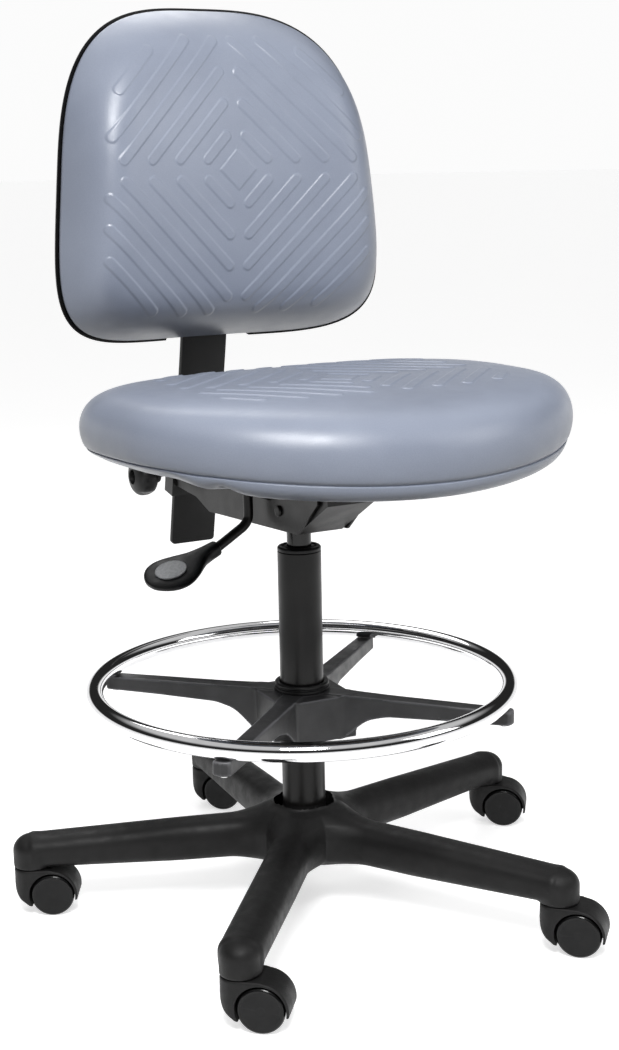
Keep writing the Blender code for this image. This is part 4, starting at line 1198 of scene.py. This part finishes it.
def hood_field(x, y, z):
    """Castor hood, trailing along +X from its stem: an arch round the wheel, a rounded neck, and a middle web
    between two wheel pockets."""
    wheel = np.hypot(x - TRAIL, z - WHEEL_RADIUS)
    foot = np.interp(x, (0.018, 0.034, 0.050), (0.0125, 0.0185, 0.0189))
    arch = both(wheel - 0.0292, foot - z, 0.002)
    round_front = np.hypot(x + 0.0006, z - 0.0356) - 0.0212
    neck = np.maximum(np.maximum(-0.0218 - x, x - 0.0225), 0.0356 - z)
    side_view = both(either(either(round_front, neck, 0.002), arch, 0.006), z - 0.0554, 0.0016)
    plan = np.where(x < 0, np.hypot(x, y), np.abs(y)) - 0.0218
    body = both(both(side_view, plan, 0.0030), np.abs(y) - 0.0214, 0.0022)
    pocket = both(wheel - 0.0264, 0.0036 - np.abs(y), 0.0008)
    bore = np.maximum(np.hypot(x, y) - 0.0058, 0.0448 - z)
    axle = np.hypot(x - TRAIL, z - WHEEL_RADIUS) - 0.0033
    return both(both(both(body, -pocket, 0.0010), -bore, 0.0005), -axle, 0.0005)


def wheel_form():
    """Wheel turned about its axle, outward along +Z: a shouldered tread, a fine step and a flat disc."""
    rim = WHEEL_RADIUS
    profile = [
        (0.0033, 0.0178), (0.0033, 0.0045), (rim - 0.0014, 0.0045), (rim, 0.0062), (rim, 0.0168),
        (rim - 0.0008, 0.0192), (rim - 0.0022, 0.0205), (rim - 0.0034, 0.0208), (rim - 0.0040, 0.0206),
        (rim - 0.0047, 0.0205), (0.0052, 0.0206), (0.0044, 0.0204), (0.0010, 0.0204),
    ]
    return turned(profile, 104, loop=False, ease=0.0006)


@operator
def castors(scene):
    """Make the five twin-wheel castors and finish their stems and axles"""
    hood = blended(hood_field, (-0.022, -0.022, 0.012), (0.054, 0.022, 0.0556), 0.0011)
    wheel = wheel_form()
    for n in range(1, 6):
        name = f"castor_{n}"
        left, right, stem = (place_of(f"{name}_{part}") for part in ("wheel_left", "wheel_right", "stem"))
        axle, out = (left + right) / 2, (left - right) / np.linalg.norm(left - right)
        turn = math.atan2(axle[1] - stem[1], axle[0] - stem[0])
        shape = placed(hood, stem * (1, 1, 0), spin=turn)
        make(f"{name}_hood_moulding", shape, "nylon black", f"{name}_hood", sharp_deg=60)
        for side, way in (("left", out), ("right", -out)):
            node = f"{name}_wheel_{side}"
            made = make(f"{node}_turned", placed(wheel, axle, way), "tread black", node, sharp_deg=30)
            made.data.materials.append(bpy.data.materials["wheel black"])
            for face in made.data.polygons:
                off = np.array(face.center) - AXIS - axle
                disc = np.linalg.norm(off - way * (off @ way)) < WHEEL_RADIUS - 0.0049
                face.material_index = int(disc and off @ way > 0.012)
        repaint("zinc plate", f"{name}_stem", f"{name}_axle")


# ---- stage ----
def turned_view(stage, vector):
    """A direction seen by the camera's own left-right and depth, turned into the chair's."""
    return Matrix.Rotation(-stage.turn, 3, "Z") @ Vector(vector)


def softbox(name, stage, place, width, watts):
    """A square area light at a place in the camera's view, turned towards the middle of the chair."""
    light = bpy.data.lights.new(name, "AREA")
    light.shape, light.size, light.energy = "SQUARE", width, watts
    holder = linked(name, light)
    holder.location = turned_view(stage, place) + Vector(AXIS)
    away = Vector((0, 0, 0.55)) + Vector(AXIS) - holder.location
    holder.rotation_euler = away.to_track_quat("-Z", "Y").to_euler()


def backdrop():
    """World light by height: dark below the horizon, pale at it, dim above, and paler again overhead."""
    world = bpy.data.worlds.new("studio")
    bpy.context.scene.world = world
    world.use_nodes = True
    tree = world.node_tree
    kinds = ("TexCoord", "SeparateXYZ", "MapRange", "ValToRGB")
    place, split, level, shade = (tree.nodes.new(f"ShaderNode{kind}") for kind in kinds)
    level.inputs["From Min"].default_value = -1
    for start, stop in (
        (place.outputs["Generated"], split.inputs["Vector"]),
        (split.outputs["Z"], level.inputs["Value"]),
        (level.outputs["Result"], shade.inputs["Fac"]),
        (shade.outputs["Color"], tree.nodes["Background"].inputs["Color"]),
    ):
        tree.links.new(start, stop)
    dark, pale, overhead = 0.02, 0.97, 0.58
    stops = (
        (0.0, 0.03), (0.468, 0.05), (0.486, pale), (0.553, pale), (0.60, dark), (0.74, dark),
        (0.86, overhead),
    )
    ramp = shade.color_ramp
    ramp.interpolation = "EASE"
    while len(ramp.elements) < len(stops):
        ramp.elements.new(0.5)
    for element, (where, tone) in zip(ramp.elements, stops):
        element.position = where
        element.color = (tone, tone, tone, 1)


def place_camera(stage):
    """Camera by its turn round the column, its pitch and its roll, as the columns of its matrix."""
    camera = bpy.data.cameras.new("studio_camera")
    camera.lens, camera.sensor_width, camera.shift_x = stage.lens, 36, stage.shift
    camera.clip_start, camera.clip_end = 0.05, 5000
    holder = linked("studio_camera", camera)
    tip, lean = stage.pitch, stage.roll
    side, up = Vector((1, 0, 0)), Vector((0, math.sin(tip), math.cos(tip)))
    right = turned_view(stage, side * math.cos(lean) + up * math.sin(lean))
    above = turned_view(stage, up * math.cos(lean) - side * math.sin(lean))
    ahead = turned_view(stage, (0, math.cos(tip), -math.sin(tip)))
    place = turned_view(stage, (0, -stage.distance, stage.height)) + Vector(AXIS)
    rows = [(right[k], above[k], -ahead[k], place[k]) for k in range(3)]
    holder.matrix_world = Matrix([*rows, (0, 0, 0, 1)])
    return holder


@operator
def stage(scene):
    """Make the floor, the world, the soft lights and the camera"""
    look, reach = scene.chair_stage, 1500.0
    corners = [(-reach, -reach, 0), (reach, -reach, 0), (reach, reach, 0), (-reach, reach, 0)]
    floor = linked("stage_floor", mesh_of("stage_floor", (corners, [(0, 1, 2, 3)])))
    floor.data.materials.append(bpy.data.materials["pale sweep"])
    floor.visible_diffuse = False
    backdrop()
    softbox("key", look, (0.0, -1.75, 2.30), 0.80, 60)
    softbox("fill", look, (2.0, -0.6, 1.6), 1.0, 9)
    softbox("back", look, (-0.5, 1.7, 2.4), 1.2, 16)
    scene.view_settings.view_transform = "Standard"
    scene.camera = place_camera(look)


# ---- add-on ----
class CHAIR_PT_panel(bpy.types.Panel):
    """Sidebar panel with the chair's settings and operators"""

    bl_label = "Drafting Chair"
    bl_idname = "CHAIR_PT_panel"
    bl_space_type = "VIEW_3D"
    bl_region_type = "UI"
    bl_category = "Drafting Chair"

    def draw(self, context):
        for name, group in GROUPS.items():
            box = self.layout.box()
            box.label(text=name.removeprefix("chair_").capitalize())
            for setting in group.__annotations__:
                box.prop(getattr(context.scene, name), setting)
        for kind in OPERATORS:
            self.layout.operator(kind.bl_idname)


CLASSES = (*GROUPS.values(), *OPERATORS, CHAIR_PT_panel)


def register():
    for kind in CLASSES:
        bpy.utils.register_class(kind)
    for name, group in GROUPS.items():
        setattr(bpy.types.Scene, name, PointerProperty(type=group))


def unregister():
    for name in GROUPS:
        delattr(bpy.types.Scene, name)
    for kind in reversed(CLASSES):
        bpy.utils.unregister_class(kind)


def main():
    register()
    for kind in OPERATORS:
        getattr(bpy.ops.chair, kind.bl_idname.removeprefix("chair."))()


if __name__ == "__main__":
    main()
